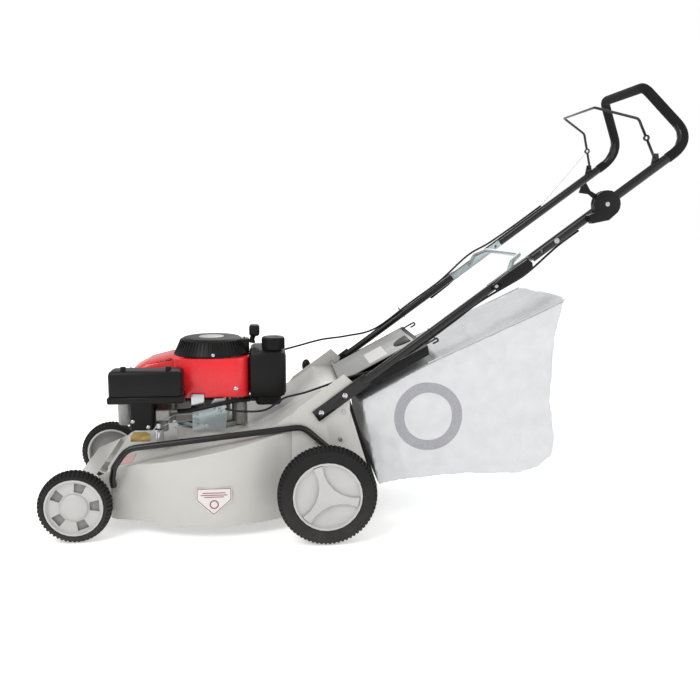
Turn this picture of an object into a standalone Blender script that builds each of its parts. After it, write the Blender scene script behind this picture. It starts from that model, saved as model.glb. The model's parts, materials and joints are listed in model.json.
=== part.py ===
"""Petrol push lawn mower with a grass bag.

Metres, +Z up. The front faces -X, the operator stands at +X and the
operator's left is -Y. The origin is the centre of the footprint, on the
ground. A suffix _R is a radius, _W a width, _T a wall.
"""
import math

import bmesh
import bpy
from mathutils import Matrix, Vector

GAP = 0.0003                     # clearance between two pieces that touch

# ---- driving dimensions -------------------------------------------------
LENGTH = 1.4965                  # front tyre to the back of the handle loop
WHEELBASE = 0.5675
FRONT_R, FRONT_W, FRONT_RIM_R = 0.0825, 0.040, 0.0656
REAR_R, REAR_W, REAR_RIM_R = 0.1125, 0.044, 0.078
FRONT_TRACK = 0.508              # over the outer faces of the front wheels
REAR_TRACK = 0.643               # over the outer faces of the rear wheels
AXLE_R = 0.006
CRANK_ARM = 0.045                # wheel centre to its height-adjust pivot
LEVER_ARM = 0.040                # pivot to the pin of the link rod

DECK_T = 0.0025
DECK_Z = 0.030                   # lower edge of the skirt
DECK_FRONT_X, DECK_REAR_X = -0.605, -0.110
DECK_ARC_R = 0.300               # side of the blade housing, in plan
DECK_HALF = 0.255                # widest half width, at the blade
DECK_CORNER_R = 0.035
DECK_CORNER_HALF = 0.186
DECK_TOP_Z, DECK_TOP_SLOPE = 0.150, 0.205
SHOULDER_R = 0.016
APRON_HALF = 0.185
APRON_X, APRON_Z = -0.692, 0.106
TUNNEL_HALF = 0.199
TUNNEL_TOP_Z, TUNNEL_FLOOR_Z = 0.322, 0.135
MOUTH_X, MOUTH_TILT = -0.050, 0.308   # rear end of the tunnel, and its lean

ENGINE_X = -0.367                # crankshaft axis
PAD_R, PAD_Z = 0.092, 0.2185     # flat engine seat of the deck
SHAFT_R = 0.0105
BLADE_LENGTH, BLADE_W, BLADE_T, BLADE_Z = 0.450, 0.050, 0.003, 0.062

BRACKET_T = 0.0025
RAIL_R = 0.0075
LOWER_TUBE_R, UPPER_TUBE_R = 0.0095, 0.0110
STRAP_T, STRAP_W = 0.006, 0.028  # flattened lower end of a handle tube
HANDLE_ANGLE = math.radians(36.0)
CLAMP_X, CLAMP_Z = 0.298, 0.572  # fold axis of the handle
LOWER_END, UPPER_START = 0.0985, 0.1085   # fold axis to the tubes' facing ends
LOOP_TOP_Y, LOOP_TOP_DX, LOOP_TOP_Z = 0.119, -0.083, 1.0355
BOLT_R = 0.004
BAIL_ROD_R = 0.0032

BAG_HALF, BAG_T = 0.186, 0.004
FRAME_T = 0.008
FLAP_SLOPE = 0.527

# ---- sizes that follow from them ---------------------------------------
FRONT_AXLE = Vector((-LENGTH / 2 + FRONT_R, 0, FRONT_R))
REAR_AXLE = Vector((FRONT_AXLE.x + WHEELBASE, 0, REAR_R))
FRONT_PIVOT = FRONT_AXLE + Vector((CRANK_ARM, 0, 0))
REAR_PIVOT = REAR_AXLE + Vector((CRANK_ARM, 0, 0))
BRACKET_IN = TUNNEL_HALF + GAP
BRACKET_OUT = BRACKET_IN + BRACKET_T
TUBE_Y = BRACKET_OUT + GAP + STRAP_T / 2
RAIL_Y = BRACKET_OUT + GAP + RAIL_R
ALONG = Vector((math.cos(HANDLE_ANGLE), 0, math.sin(HANDLE_ANGLE)))
ACROSS = Vector((-math.sin(HANDLE_ANGLE), 0, math.cos(HANDLE_ANGLE)))
CLAMP = Vector((CLAMP_X, 0, CLAMP_Z))
LOOP_X = LENGTH / 2 + 0.0092     # sharp corner of the loop, before its bend
PAD_TOP = PAD_Z + GAP
HEAD_DX = -0.1683                # crankshaft axis to the cylinder head joint


def handle_point(x, y=0.0, lift=0.0):
    """A point over x on the line of the handle tubes, lifted off it."""
    along = (x - CLAMP_X) / ALONG.x
    return CLAMP + ALONG * along + ACROSS * lift + Vector((0, y, 0))


def deck_top(x):
    """Height of the deck's sloping top over x."""
    return DECK_TOP_Z + DECK_TOP_SLOPE * (x - DECK_FRONT_X)


def mouth_x(z):
    """Where the leaning rear end of the tunnel stands at height z."""
    return MOUTH_X + MOUTH_TILT * (TUNNEL_TOP_Z - z)


# ---- materials -----------------------------------------------------------
def make_material(name, colour, roughness, metallic=0.0):
    mat = bpy.data.materials.new(name)
    mat.use_nodes = True
    shader = mat.node_tree.nodes["Principled BSDF"]
    shader.inputs["Base Color"].default_value = (*colour, 1.0)
    shader.inputs["Roughness"].default_value = roughness
    shader.inputs["Metallic"].default_value = metallic
    mat.diffuse_color = (*colour, 1.0)
    return mat


PALETTE = {
    "deck_paint": ((0.62, 0.61, 0.59), 0.38, 0.0),
    "red_plastic": ((0.78, 0.02, 0.03), 0.28, 0.0),
    "black_plastic": ((0.018, 0.018, 0.018), 0.45, 0.0),
    "black_paint": ((0.012, 0.012, 0.012), 0.32, 0.0),
    "tyre_rubber": ((0.02, 0.02, 0.02), 0.75, 0.0),
    "grey_plastic": ((0.66, 0.66, 0.65), 0.42, 0.0),
    "zinc": ((0.60, 0.63, 0.66), 0.30, 1.0),
    "steel": ((0.50, 0.50, 0.50), 0.30, 1.0),
    "cast_aluminium": ((0.55, 0.55, 0.54), 0.50, 1.0),
    "flap_paint": ((0.30, 0.31, 0.31), 0.45, 0.0),
    "bag_fabric": ((0.82, 0.82, 0.83), 0.90, 0.0),
    "ceramic_white": ((0.80, 0.79, 0.76), 0.25, 0.0),
}


# ---- modelling helpers ---------------------------------------------------
def weld_and_orient(mesh):
    """Weld loose seams and turn every face outward."""
    work = bmesh.new()
    work.from_mesh(mesh)
    bmesh.ops.remove_doubles(work, verts=work.verts, dist=0.00002)
    bmesh.ops.recalc_face_normals(work, faces=work.faces)
    work.to_mesh(mesh)
    work.free()


def bake(obj):
    """Replace a curve or a modified object with its evaluated mesh."""
    bpy.context.view_layer.update()
    graph = bpy.context.evaluated_depsgraph_get()
    mesh = bpy.data.meshes.new_from_object(obj.evaluated_get(graph))
    mesh.transform(obj.matrix_world)
    weld_and_orient(mesh)
    result = bpy.data.objects.new(obj.name, mesh)
    bpy.context.scene.collection.objects.link(result)
    bpy.data.objects.remove(obj)
    return result


def link_new(name, data, matrix=None):
    obj = bpy.data.objects.new(name, data)
    bpy.context.scene.collection.objects.link(obj)
    if matrix:
        obj.matrix_world = matrix
    return obj


def box(low, high):
    """A box between two opposite corners."""
    low, high = Vector(low), Vector(high)
    work = bmesh.new()
    bmesh.ops.create_cube(work, size=1.0)
    size = Matrix.Diagonal((*(high - low), 1))
    bmesh.ops.transform(work, verts=work.verts, matrix=Matrix.Translation((low + high) / 2) @ size)
    mesh = bpy.data.meshes.new("box")
    work.to_mesh(mesh)
    work.free()
    return link_new("box", mesh)


def aim(start, end):
    """Matrix that puts local Z along a line, at its middle."""
    start, end = Vector(start), Vector(end)
    turn = Vector((0, 0, 1)).rotation_difference(end - start)
    return Matrix.Translation((start + end) / 2) @ turn.to_matrix().to_4x4()


def rod(start, end, radius, sides=16, end_radius=None):
    """A cylinder or a cone between two points."""
    work = bmesh.new()
    tip = radius if end_radius is None else end_radius
    depth = (Vector(end) - Vector(start)).length
    bmesh.ops.create_cone(work, cap_ends=True, segments=sides, radius1=radius, radius2=tip, depth=depth)
    mesh = bpy.data.meshes.new("rod")
    work.to_mesh(mesh)
    work.free()
    mesh.transform(aim(start, end))
    return link_new("rod", mesh)


def ball(centre, radius, scale=(1, 1, 1), segments=12, rings=8):
    work = bmesh.new()
    bmesh.ops.create_uvsphere(work, u_segments=segments, v_segments=rings, radius=radius)
    matrix = Matrix.Translation(centre) @ Matrix.Diagonal((*scale, 1))
    bmesh.ops.transform(work, verts=work.verts, matrix=matrix)
    mesh = bpy.data.meshes.new("ball")
    work.to_mesh(mesh)
    work.free()
    return link_new("ball", mesh)


def lathe(profile, matrix, steps=32, closed=False):
    """Turn (radius, height) points about local Z with a Screw modifier."""
    mesh = bpy.data.meshes.new("profile")
    points = [(radius, 0, height) for radius, height in profile]
    edges = [(i, i + 1) for i in range(len(points) - 1)]
    if closed:
        edges.append((len(points) - 1, 0))
    mesh.from_pydata(points, edges, [])
    obj = link_new("lathe", mesh, matrix)
    screw = obj.modifiers.new("turn", "SCREW")
    screw.steps = screw.render_steps = steps
    screw.use_merge_vertices = True
    screw.merge_threshold = 0.00002
    return bake(obj)


def plate(outline, half, matrix, holes=()):
    """A flat outline with round holes, as thick as 2 * half about its plane."""
    curve = bpy.data.curves.new("plate", "CURVE")
    curve.dimensions = "2D"
    curve.fill_mode = "BOTH"
    curve.extrude = half
    rings = [outline] + [arc(centre, radius, 0, 2 * math.pi, sides, False) for centre, radius, sides in holes]
    for ring in rings:
        spline = curve.splines.new("POLY")
        spline.points.add(len(ring) - 1)
        for point, place in zip(spline.points, ring):
            point.co = (place[0], place[1], 0, 1)
        spline.use_cyclic_u = True
    return bake(link_new("plate", curve, matrix))


def arc(centre, radius, start, end, steps, with_end=True):
    """Points on an arc in a plane, from one angle to the other."""
    last = steps + 1 if with_end else steps
    turns = [start + (end - start) * i / steps for i in range(last)]
    return [(centre[0] + radius * math.cos(t), centre[1] + radius * math.sin(t)) for t in turns]


def side_plane(y):
    """Matrix of a drawing plane at y whose first axis is X and second is Z."""
    return Matrix.Translation((0, y, 0)) @ Matrix.Rotation(math.pi / 2, 4, "X")


def prism(outline, y_low, y_high, holes=()):
    """An outline in X and Z, extruded from y_low to y_high."""
    return plate(outline, (y_high - y_low) / 2, side_plane((y_low + y_high) / 2), holes)


def rounded_path(corners, radii, steps=4):
    """A route through corners, each rounded to its own radius."""
    corners = [Vector(c) for c in corners]
    points = [corners[0]]
    for i in range(1, len(corners) - 1):
        into = (corners[i - 1] - corners[i]).normalized()
        out = (corners[i + 1] - corners[i]).normalized()
        half = into.angle(out) / 2
        radius = radii[i - 1] if isinstance(radii, (list, tuple)) else radii
        back = radius / math.tan(half)
        centre = corners[i] + (into + out).normalized() * (radius / math.sin(half))
        first = corners[i] + into * back - centre
        last = corners[i] + out * back - centre
        sweep = first.angle(last)
        for k in range(steps + 1):
            share = k / steps
            one = math.sin((1 - share) * sweep) / math.sin(sweep)
            two = math.sin(share * sweep) / math.sin(sweep)
            points.append(centre + first * one + last * two)
    points.append(corners[-1])
    return points


def tube(points, radius, sides=12):
    """A round bar along a route, with closed ends."""
    curve = bpy.data.curves.new("tube", "CURVE")
    curve.dimensions = "3D"
    curve.bevel_depth = radius
    curve.bevel_resolution = (sides - 4) // 2
    curve.use_fill_caps = True
    spline = curve.splines.new("POLY")
    spline.points.add(len(points) - 1)
    for point, place in zip(spline.points, points):
        point.co = (*place, 1)
    return bake(link_new("tube", curve))


def smooth_route(points, steps):
    """Points on a smooth curve through a cable's own chosen points."""
    knots = [Vector(p) for p in points]
    knots = [2 * knots[0] - knots[1]] + knots + [2 * knots[-1] - knots[-2]]
    route = []
    for i in range(1, len(knots) - 2):
        a, b, c, d = knots[i - 1:i + 3]
        for k in range(steps):
            t = k / steps
            route.append(0.5 * (2 * b + (c - a) * t + (2 * a - 5 * b + 4 * c - d) * t * t
                                + (3 * b - a - 3 * c + d) * t ** 3))
    return route + [knots[-2]]


def combine(target, others, operation):
    """Boolean each of the other solids into the target, and use them up."""
    for other in others:
        step = target.modifiers.new(operation.lower(), "BOOLEAN")
        step.operation = operation
        step.solver = "EXACT"
        step.object = other
        target = bake(target)
        bpy.data.objects.remove(other)
    return target


def join(target, *others):
    return combine(target, others, "UNION")


def cut(target, *others):
    return combine(target, others, "DIFFERENCE")


def soften(obj, width, segments=2, test=None):
    """Bevel the sharp edges, or those of them that pass a test."""
    work = bmesh.new()
    work.from_mesh(obj.data)
    edges = []
    for edge in work.edges:
        sharp = len(edge.link_faces) == 2 and edge.calc_face_angle(0) > math.radians(25)
        if sharp and (test is None or test(edge.verts[0].co, edge.verts[1].co)):
            edges.append(edge)
    bmesh.ops.bevel(work, geom=edges, offset=width, segments=segments, profile=0.5,
                    affect="EDGES", clamp_overlap=True)
    work.to_mesh(obj.data)
    work.free()
    weld_and_orient(obj.data)
    return obj


def mirrored(obj):
    """A copy of a finished solid on the other side of the centre plane."""
    mesh = obj.data.copy()
    mesh.transform(Matrix.Diagonal((1, -1, 1, 1)))
    weld_and_orient(mesh)
    return link_new(obj.name, mesh)


def finish(obj, name, colour, pivot=(0, 0, 0)):
    """Name a solid, colour it and put its origin on its axis."""
    pivot = Vector(pivot)
    obj.data.transform(Matrix.Translation(-pivot))
    obj.location = pivot
    obj.name = obj.data.name = name
    obj.data.materials.clear()
    obj.data.materials.append(MATERIALS[colour])
    obj.data.shade_smooth()
    obj.data.set_sharp_from_angle(angle=math.radians(32))
    for holder in list(obj.users_collection):
        holder.objects.unlink(obj)
    MOWER.objects.link(obj)
    return obj


def both_sides(build, name, colour, pivot=(0, 0, 0)):
    """Make a left piece and its mirror image on the right."""
    left = build()
    right = mirrored(left)
    pivot = Vector(pivot)
    finish(left, name + "_left", colour, pivot)
    finish(right, name + "_right", colour, Vector((pivot.x, -pivot.y, pivot.z)))


# ---- deck ---------------------------------------------------------------
def housing_outline(inset):
    """Plan of the blade housing, drawn inset by a wall."""
    centre_y = DECK_HALF - DECK_ARC_R
    centre_x = ENGINE_X + 0.012
    corner = (DECK_FRONT_X + DECK_CORNER_R, DECK_CORNER_HALF - DECK_CORNER_R)
    side_r = DECK_ARC_R - inset
    meets_tunnel = math.asin((TUNNEL_HALF - inset - centre_y) / side_r)
    half = arc(corner, DECK_CORNER_R - inset, math.pi, math.pi / 2, 4)
    half += arc((centre_x, centre_y), side_r, math.radians(125), meets_tunnel, 10)
    half.append((DECK_REAR_X - inset, TUNNEL_HALF - inset))
    return half + [(x, -y) for x, y in reversed(half)]


def housing(inset, bottom):
    """Solid under the sloping top of the deck."""
    solid = plate(housing_outline(inset), 0.05, Matrix())
    for vert in solid.data.vertices:
        top = vert.co.z > 0
        vert.co.z = deck_top(vert.co.x) - inset if top else bottom
    over = DECK_Z + 0.05
    return soften(solid, SHOULDER_R - inset, 3, lambda a, b: a.z > over and b.z > over)


def apron(inset):
    """Front panel that covers the front axle, open below and behind."""
    back = DECK_FRONT_X if inset else DECK_FRONT_X + 0.01
    low = DECK_Z - 0.02 if inset else 0.048
    front = APRON_X + inset
    outline = [(back, low), (back, deck_top(DECK_FRONT_X) - 0.004 - inset),
               (front, APRON_Z - inset), (front, low if inset else 0.070)]
    return prism(outline, -APRON_HALF + inset, APRON_HALF - inset)


def tunnel(inset):
    """Rising discharge tunnel between the handle brackets."""
    reach = 0.03 if inset else 0.0
    top, floor = TUNNEL_TOP_Z - inset, TUNNEL_FLOOR_Z + inset
    outline = [(-0.330, 0.110), (-0.330, 0.170 - inset * 1.2), (-0.105 - inset * 0.5, top),
               (mouth_x(top) + reach, top), (mouth_x(floor) + reach, floor), (-0.160, floor)]
    return prism(outline, -TUNNEL_HALF + inset, TUNNEL_HALF - inset)


def build_deck():
    pad = rod((ENGINE_X, 0, 0.15), (ENGINE_X, 0, PAD_Z), PAD_R, 32)
    deck = join(housing(0, DECK_Z), apron(0), tunnel(0), pad)
    hollow = housing(DECK_T, DECK_Z - 0.02)
    under_pad = rod((ENGINE_X, 0, 0.12), (ENGINE_X, 0, PAD_Z - DECK_T), PAD_R - DECK_T, 32)
    hollow = join(hollow, tunnel(DECK_T), under_pad)
    deck = cut(deck, hollow, apron(DECK_T), rod((ENGINE_X, 0, 0.15), (ENGINE_X, 0, 0.25), 0.022, 20))
    span = Vector((0, APRON_HALF + 0.02, 0))
    deck = cut(deck, rod(FRONT_PIVOT - span, FRONT_PIVOT + span, AXLE_R + GAP, 12))
    finish(deck, "deck", "deck_paint")


def build_rails():
    """Side guard rail, from the deck's front corner up and back to the bracket."""
    def rail():
        behind = 0.018           # clears the apron, which laps over the front of the deck
        foot_x = DECK_FRONT_X + behind
        clear = DECK_CORNER_R + RAIL_R + GAP
        foot_y = DECK_CORNER_HALF - DECK_CORNER_R + math.sqrt(clear ** 2 - (DECK_CORNER_R - behind) ** 2)
        corners = [(foot_x, -foot_y, 0.112), (foot_x - 0.001, -(foot_y + 0.008), 0.132),
                   (foot_x + 0.006, -RAIL_Y, 0.162), (foot_x + 0.036, -RAIL_Y, 0.2055),
                   (-0.148, -RAIL_Y, 0.2475), (-0.070, -RAIL_Y, 0.178)]
        return tube(rounded_path(corners, (0.012, 0.02, 0.045, 0.040), 3), RAIL_R, 10)
    both_sides(rail, "side_rail", "black_paint")


def build_brackets():
    """Steel plates that carry the handle and the rear axle."""
    def bracket():
        outline = [(-0.174, 0.090), (-0.174, 0.272), (-0.158, 0.292), (-0.052, 0.3685),
                   (-0.026, 0.345), (-0.038, 0.310), (-0.038, 0.250), (-0.015, 0.189),
                   (-0.015, 0.090)]
        holes = [((REAR_PIVOT.x, REAR_PIVOT.z), AXLE_R + GAP, 12)]
        holes += [((handle_point(x).x, handle_point(x).z), BOLT_R, 10) for x in (-0.105, -0.050)]
        return prism(outline, -BRACKET_OUT, -BRACKET_IN, holes)
    both_sides(bracket, "handle_bracket", "deck_paint")


# ---- wheels and height adjustment -----------------------------------------
def wheel_frame(centre, side, track):
    """Matrix of a wheel: local Z points outboard, local zero is its outer face."""
    outward = Matrix.Rotation(math.pi / 2 if side < 0 else -math.pi / 2, 4, "X")
    return Matrix.Translation((centre.x, side * track / 2, centre.z)) @ outward


WHEEL_STEPS = 28                 # shared by a tyre and its rim, whose facets must nest


def tyre(radius, rim, width, frame):
    shoulder = 0.007
    rim += GAP
    profile = [(rim, -0.001), (radius - shoulder, 0), (radius, -shoulder),
               (radius, shoulder - width), (radius - shoulder, -width), (rim, 0.001 - width)]
    return lathe(profile, frame, WHEEL_STEPS, closed=True)


def rim_body(rim, width, hub, frame):
    """Moulded rim: rolled edge, dished web and long hub."""
    bore = AXLE_R + GAP
    profile = [(bore, -0.010), (rim - 0.006, -0.010), (rim - 0.004, -0.002), (rim, -0.002),
               (rim, 0.002 - width), (rim - 0.005, 0.002 - width), (rim - 0.006, -0.015),
               (hub, -0.017), (hub, -width), (bore, -width)]
    return lathe(profile, frame, WHEEL_STEPS, closed=True)


def front_windows(body, frame):
    """Five openings between the spokes of a front rim."""
    for i in range(5):
        turn = math.radians(2 - 72 * i)
        low, high = 0.034, 0.055
        outline = [(low, -0.0095), (high, -0.0135), (high, 0.0135), (low, 0.0095)]
        place = frame @ Matrix.Rotation(turn, 4, "Z") @ Matrix.Translation((0, 0, -0.013))
        body = cut(body, plate(outline, 0.006, place))
    return body


def front_cap(frame):
    """Domed cover over the end of a front axle."""
    base = -0.010 + GAP
    profile = [(0, 0.000), (0.016, -0.0006), (0.026, -0.003), (0.031, -0.0065), (0.031, base),
               (0.008, base), (0.008, -0.004), (0, -0.004)]
    return lathe(profile, frame, 24)


def rear_star(frame):
    """Three-armed star cover of a rear rim."""
    reach, far, bite = REAR_RIM_R - 0.0065, 0.100, 0.0785
    edge = math.acos((reach ** 2 + far ** 2 - bite ** 2) / (2 * reach * far))
    inner = math.acos((bite ** 2 + far ** 2 - reach ** 2) / (2 * bite * far))
    outline = []
    for i in range(3):
        valley = math.radians(168 + 120 * i)
        centre = (far * math.cos(valley), far * math.sin(valley))
        scoop = arc(centre, bite, valley + math.pi + inner, valley + math.pi - inner, 6)
        outline += scoop
        tip_from, tip_to = valley + edge, valley + math.radians(120) - edge
        outline += arc((0, 0), reach, tip_from, tip_to, 2)[1:-1]
    star = plate(outline, 0.0035, frame @ Matrix.Translation((0, 0, -0.010 + GAP + 0.0035)))
    pocket = lathe([(0, 0.0), (0.008, 0.0), (0.008, -0.006), (0, -0.006)],
                   frame @ Matrix.Translation((0, 0, -0.0055)), 12)
    return cut(star, pocket)


def build_wheels():
    corners = (("front", "left", FRONT_AXLE, -1, FRONT_TRACK, FRONT_R, FRONT_RIM_R, FRONT_W),
               ("front", "right", FRONT_AXLE, 1, FRONT_TRACK, FRONT_R, FRONT_RIM_R, FRONT_W),
               ("rear", "left", REAR_AXLE, -1, REAR_TRACK, REAR_R, REAR_RIM_R, REAR_W),
               ("rear", "right", REAR_AXLE, 1, REAR_TRACK, REAR_R, REAR_RIM_R, REAR_W))
    for end, side_name, centre, side, track, radius, rim, width in corners:
        frame = wheel_frame(centre, side, track)
        place = frame.to_translation()
        body = rim_body(rim, width, 0.014, frame)
        if end == "front":
            body = front_windows(body, frame)
            cap = front_cap(frame)
        else:
            cap = rear_star(frame)
        tail = f"{end}_{side_name}"
        finish(tyre(radius, rim, width, frame), "tyre_" + tail, "tyre_rubber", place)
        finish(body, "rim_" + tail, "grey_plastic", place)
        finish(cap, "hub_cap_" + tail, "grey_plastic", place)


def cranked_axle(axle, pivot, track, width, arm_y):
    """One bent rod: a stub axle at each end and the pivot bar between."""
    tip = track / 2 - 0.007
    corners = [(axle.x, -tip, axle.z), (axle.x, -arm_y, axle.z), (pivot.x, -arm_y, pivot.z),
               (pivot.x, arm_y, pivot.z), (axle.x, arm_y, axle.z), (axle.x, tip, axle.z)]
    solid = tube(rounded_path(corners, 0.008, 2), AXLE_R, 12)
    inner = track / 2 - width - GAP
    for side in (-1, 1):
        washer = rod((axle.x, side * (inner - 0.003), axle.z), (axle.x, side * inner, axle.z), 0.011, 14)
        solid = join(solid, washer)
    return solid


def lever_pin(pivot):
    """Centre of the link rod's pin beside a height-adjust pivot."""
    lean = math.atan2(KNOB.z - REAR_PIVOT.z, KNOB.x - REAR_PIVOT.x)
    return pivot - Vector((math.cos(lean), 0, math.sin(lean))) * LEVER_ARM


FRONT_ARM_Y, REAR_ARM_Y = 0.2005, 0.252
LINK_FRONT_Y, LINK_REAR_Y = 0.1970, 0.2310
LEVER_Y = (LINK_REAR_Y + 0.003 + GAP, LINK_REAR_Y + 0.003 + GAP + 0.004)
LINK_R = 0.003
KNOB = Vector((-0.116, 0, 0.304))


def build_height_adjust():
    front = cranked_axle(FRONT_AXLE, FRONT_PIVOT, FRONT_TRACK, FRONT_W, FRONT_ARM_Y)
    pin = lever_pin(FRONT_PIVOT)
    ear = prism([(pin.x - 0.006, pin.z - 0.005), (pin.x + 0.006, pin.z - 0.005),
                 (FRONT_PIVOT.x + 0.007, FRONT_PIVOT.z + 0.004), (FRONT_PIVOT.x - 0.007, FRONT_PIVOT.z + 0.004)],
                APRON_HALF + 0.003, APRON_HALF + 0.006, holes=[((pin.x, pin.z), 0.0025, 8)])
    front = join(front, ear)
    finish(front, "front_axle", "steel", FRONT_PIVOT)

    rear = cranked_axle(REAR_AXLE, REAR_PIVOT, REAR_TRACK, REAR_W, REAR_ARM_Y)
    finish(rear, "rear_axle", "steel", REAR_PIVOT)

    base, knob = REAR_PIVOT, KNOB
    along = (knob - base).normalized()
    aside = Vector((along.z, 0, -along.x)) * 0.009
    pin = lever_pin(REAR_PIVOT)
    foot = pin - along * 0.008
    corners = [foot - aside * 0.7, knob - aside * 0.7, knob + aside * 0.7, foot + aside * 0.7]
    lever = prism([(p.x, p.z) for p in corners], *LEVER_Y,
                  holes=[((pin.x, pin.z), 0.0025, 8), ((base.x, base.z), AXLE_R + GAP, 12)])
    grip = ball(knob + along * 0.012 + Vector((0, (LEVER_Y[0] + LEVER_Y[1]) / 2, 0)), 0.017,
                (0.72, 0.72, 1.12))
    finish(join(lever, grip), "height_lever", "black_plastic", REAR_PIVOT)

    tail, head = lever_pin(REAR_PIVOT), lever_pin(FRONT_PIVOT)
    rise = (tail.z - head.z) / (tail.x - head.x)
    wide = DECK_HALF + 0.0085 + LINK_R
    spans = ((head.x - 0.004, LINK_FRONT_Y), (-0.580, LINK_FRONT_Y), (-0.430, wide),
             (-0.280, wide), (-0.175, LINK_REAR_Y), (tail.x + 0.004, LINK_REAR_Y))
    corners = [(x, y, head.z + rise * (x - head.x)) for x, y in spans]
    link = tube(rounded_path(corners, 0.03, 2), LINK_R, 8)
    rear_hook = rod((tail.x, LINK_REAR_Y, tail.z), (tail.x, LEVER_Y[1] + 0.003, tail.z), 0.0022, 8)
    front_hook = rod((head.x, LINK_FRONT_Y, head.z), (head.x, APRON_HALF + 0.0015, head.z), 0.0022, 8)
    finish(join(link, rear_hook, front_hook), "height_link_rod", "zinc", tail)


# ---- engine --------------------------------------------------------------
def engine(dx, y, dz):
    """A point set off from where the crankshaft axis meets the engine seat."""
    return Vector((ENGINE_X + dx, y, PAD_TOP + dz))


def on_shaft():
    """Matrix on the crankshaft axis, at the engine seat."""
    return Matrix.Translation(engine(0, 0, 0))


def block(low, high, width=0.0, segments=1, test=None):
    """A box of the engine with its edges rounded."""
    solid = box(engine(*low), engine(*high))
    return soften(solid, width, segments, test) if width else solid


def post(foot, head, radius, sides=12):
    return rod(engine(*foot), engine(*head), radius, sides)


SHROUD_HALF, SHROUD_T = 0.0915, 0.003
SHROUD_LOW, SHROUD_TOP = 0.078, 0.1727
RECOIL_R = 0.0935
SHROUD_REAR, NOSE_HALF = RECOIL_R, 0.070
PLATE_Y = -0.0985                # back of the control plate
PLATE_BOLTS = ((-0.030, 0.016), (0.010, 0.054))
FILLER_FOOT, FILLER_TOP = (0.030, 0.072, 0.010), (0.030, 0.112, 0.080)
INTAKE_Z = 0.043                 # height of the ports over the seat
COLUMN_X, COLUMN_Y = 0.068, -0.045


def build_crankcase():
    flange = post((0, 0, 0), (0, 0, 0.011), 0.084, 28)
    case = block((-0.090, -0.056, 0.006), (0.030, 0.056, 0.067), 0.008, 2)
    barrel = block((HEAD_DX + GAP, -0.044, 0.013), (-0.085, 0.044, 0.087))
    fins = []
    for i in range(4):
        start = HEAD_DX + 0.012 + 0.017 * i
        fins.append(block((start, -0.052, 0.007), (start + 0.006, 0.052, 0.093)))
    tower = post((0, 0, 0.060), (0, 0, 0.087), 0.026, 18)
    column = post((COLUMN_X, COLUMN_Y, 0.004), (COLUMN_X, COLUMN_Y, 0.0775), 0.019, 16)
    filler = post(FILLER_FOOT, FILLER_TOP, 0.010, 12)
    port = post((-0.113, -0.040, INTAKE_Z), (-0.113, -0.0637, INTAKE_Z), 0.010)
    stands = [post((dx, -0.050, dz), (dx, PLATE_Y, dz), 0.006, 10) for dx, dz in PLATE_BOLTS]
    lug_half = NOSE_HALF - SHROUD_T - 0.0005
    lug = block((-0.125, -lug_half, SHROUD_LOW + 0.001), (-0.117, lug_half, SHROUD_LOW + 0.013))
    case = join(flange, case, barrel, *fins, tower, column, filler, port, lug, *stands)
    case = cut(case, post((0, 0, -0.02), (0, 0, 0.11), SHAFT_R + GAP, 16))
    finish(case, "crankcase", "cast_aluminium")

    face = HEAD_DX - 0.030       # front of the cylinder head
    head = block((face, -0.050, 0.003), (HEAD_DX, 0.050, 0.097), 0.004)
    port = post((face + 0.014, 0.045, INTAKE_Z), (face + 0.014, 0.0585, INTAKE_Z), 0.011)
    well = post((face - 0.010, 0.036, INTAKE_Z), (face + 0.012, 0.036, INTAKE_Z), 0.0064)
    finish(cut(join(head, port), well), "cylinder_head", "cast_aluminium")

    cover = block((face - 0.032, -0.046, 0.001), (face - GAP, 0.024, 0.077), 0.008, 2)
    finish(cover, "valve_cover", "cast_aluminium")

    profile = [(0, 0.044), (0.0075, 0.044), (0.0085, 0.020), (0.0085, 0.012), (0.0060, 0.012),
               (0.0060, 0), (0, 0)]
    seat = Matrix.Translation(engine(face + 0.0115, 0.036, INTAKE_Z))
    plug = lathe(profile, seat @ Matrix.Rotation(-math.pi / 2, 4, "Y"), 12)
    finish(plug, "spark_plug", "ceramic_white")

    muffler = block((face - 0.020, 0.0588, 0.009), (HEAD_DX + 0.036, 0.118, 0.077), 0.010, 2)
    pipe = post((face - 0.012, 0.090, 0.021), (face - 0.032, 0.098, 0.017), 0.008)
    finish(join(muffler, pipe), "muffler", "steel")


CLEANER_LOW, CLEANER_HIGH = (-0.233, -0.165), (-0.057, -0.0935)
HOSE_R = 0.0055
HOSE_END = (0.0953, -0.066, 0.066)   # the hose's end at the tank's spout


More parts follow.
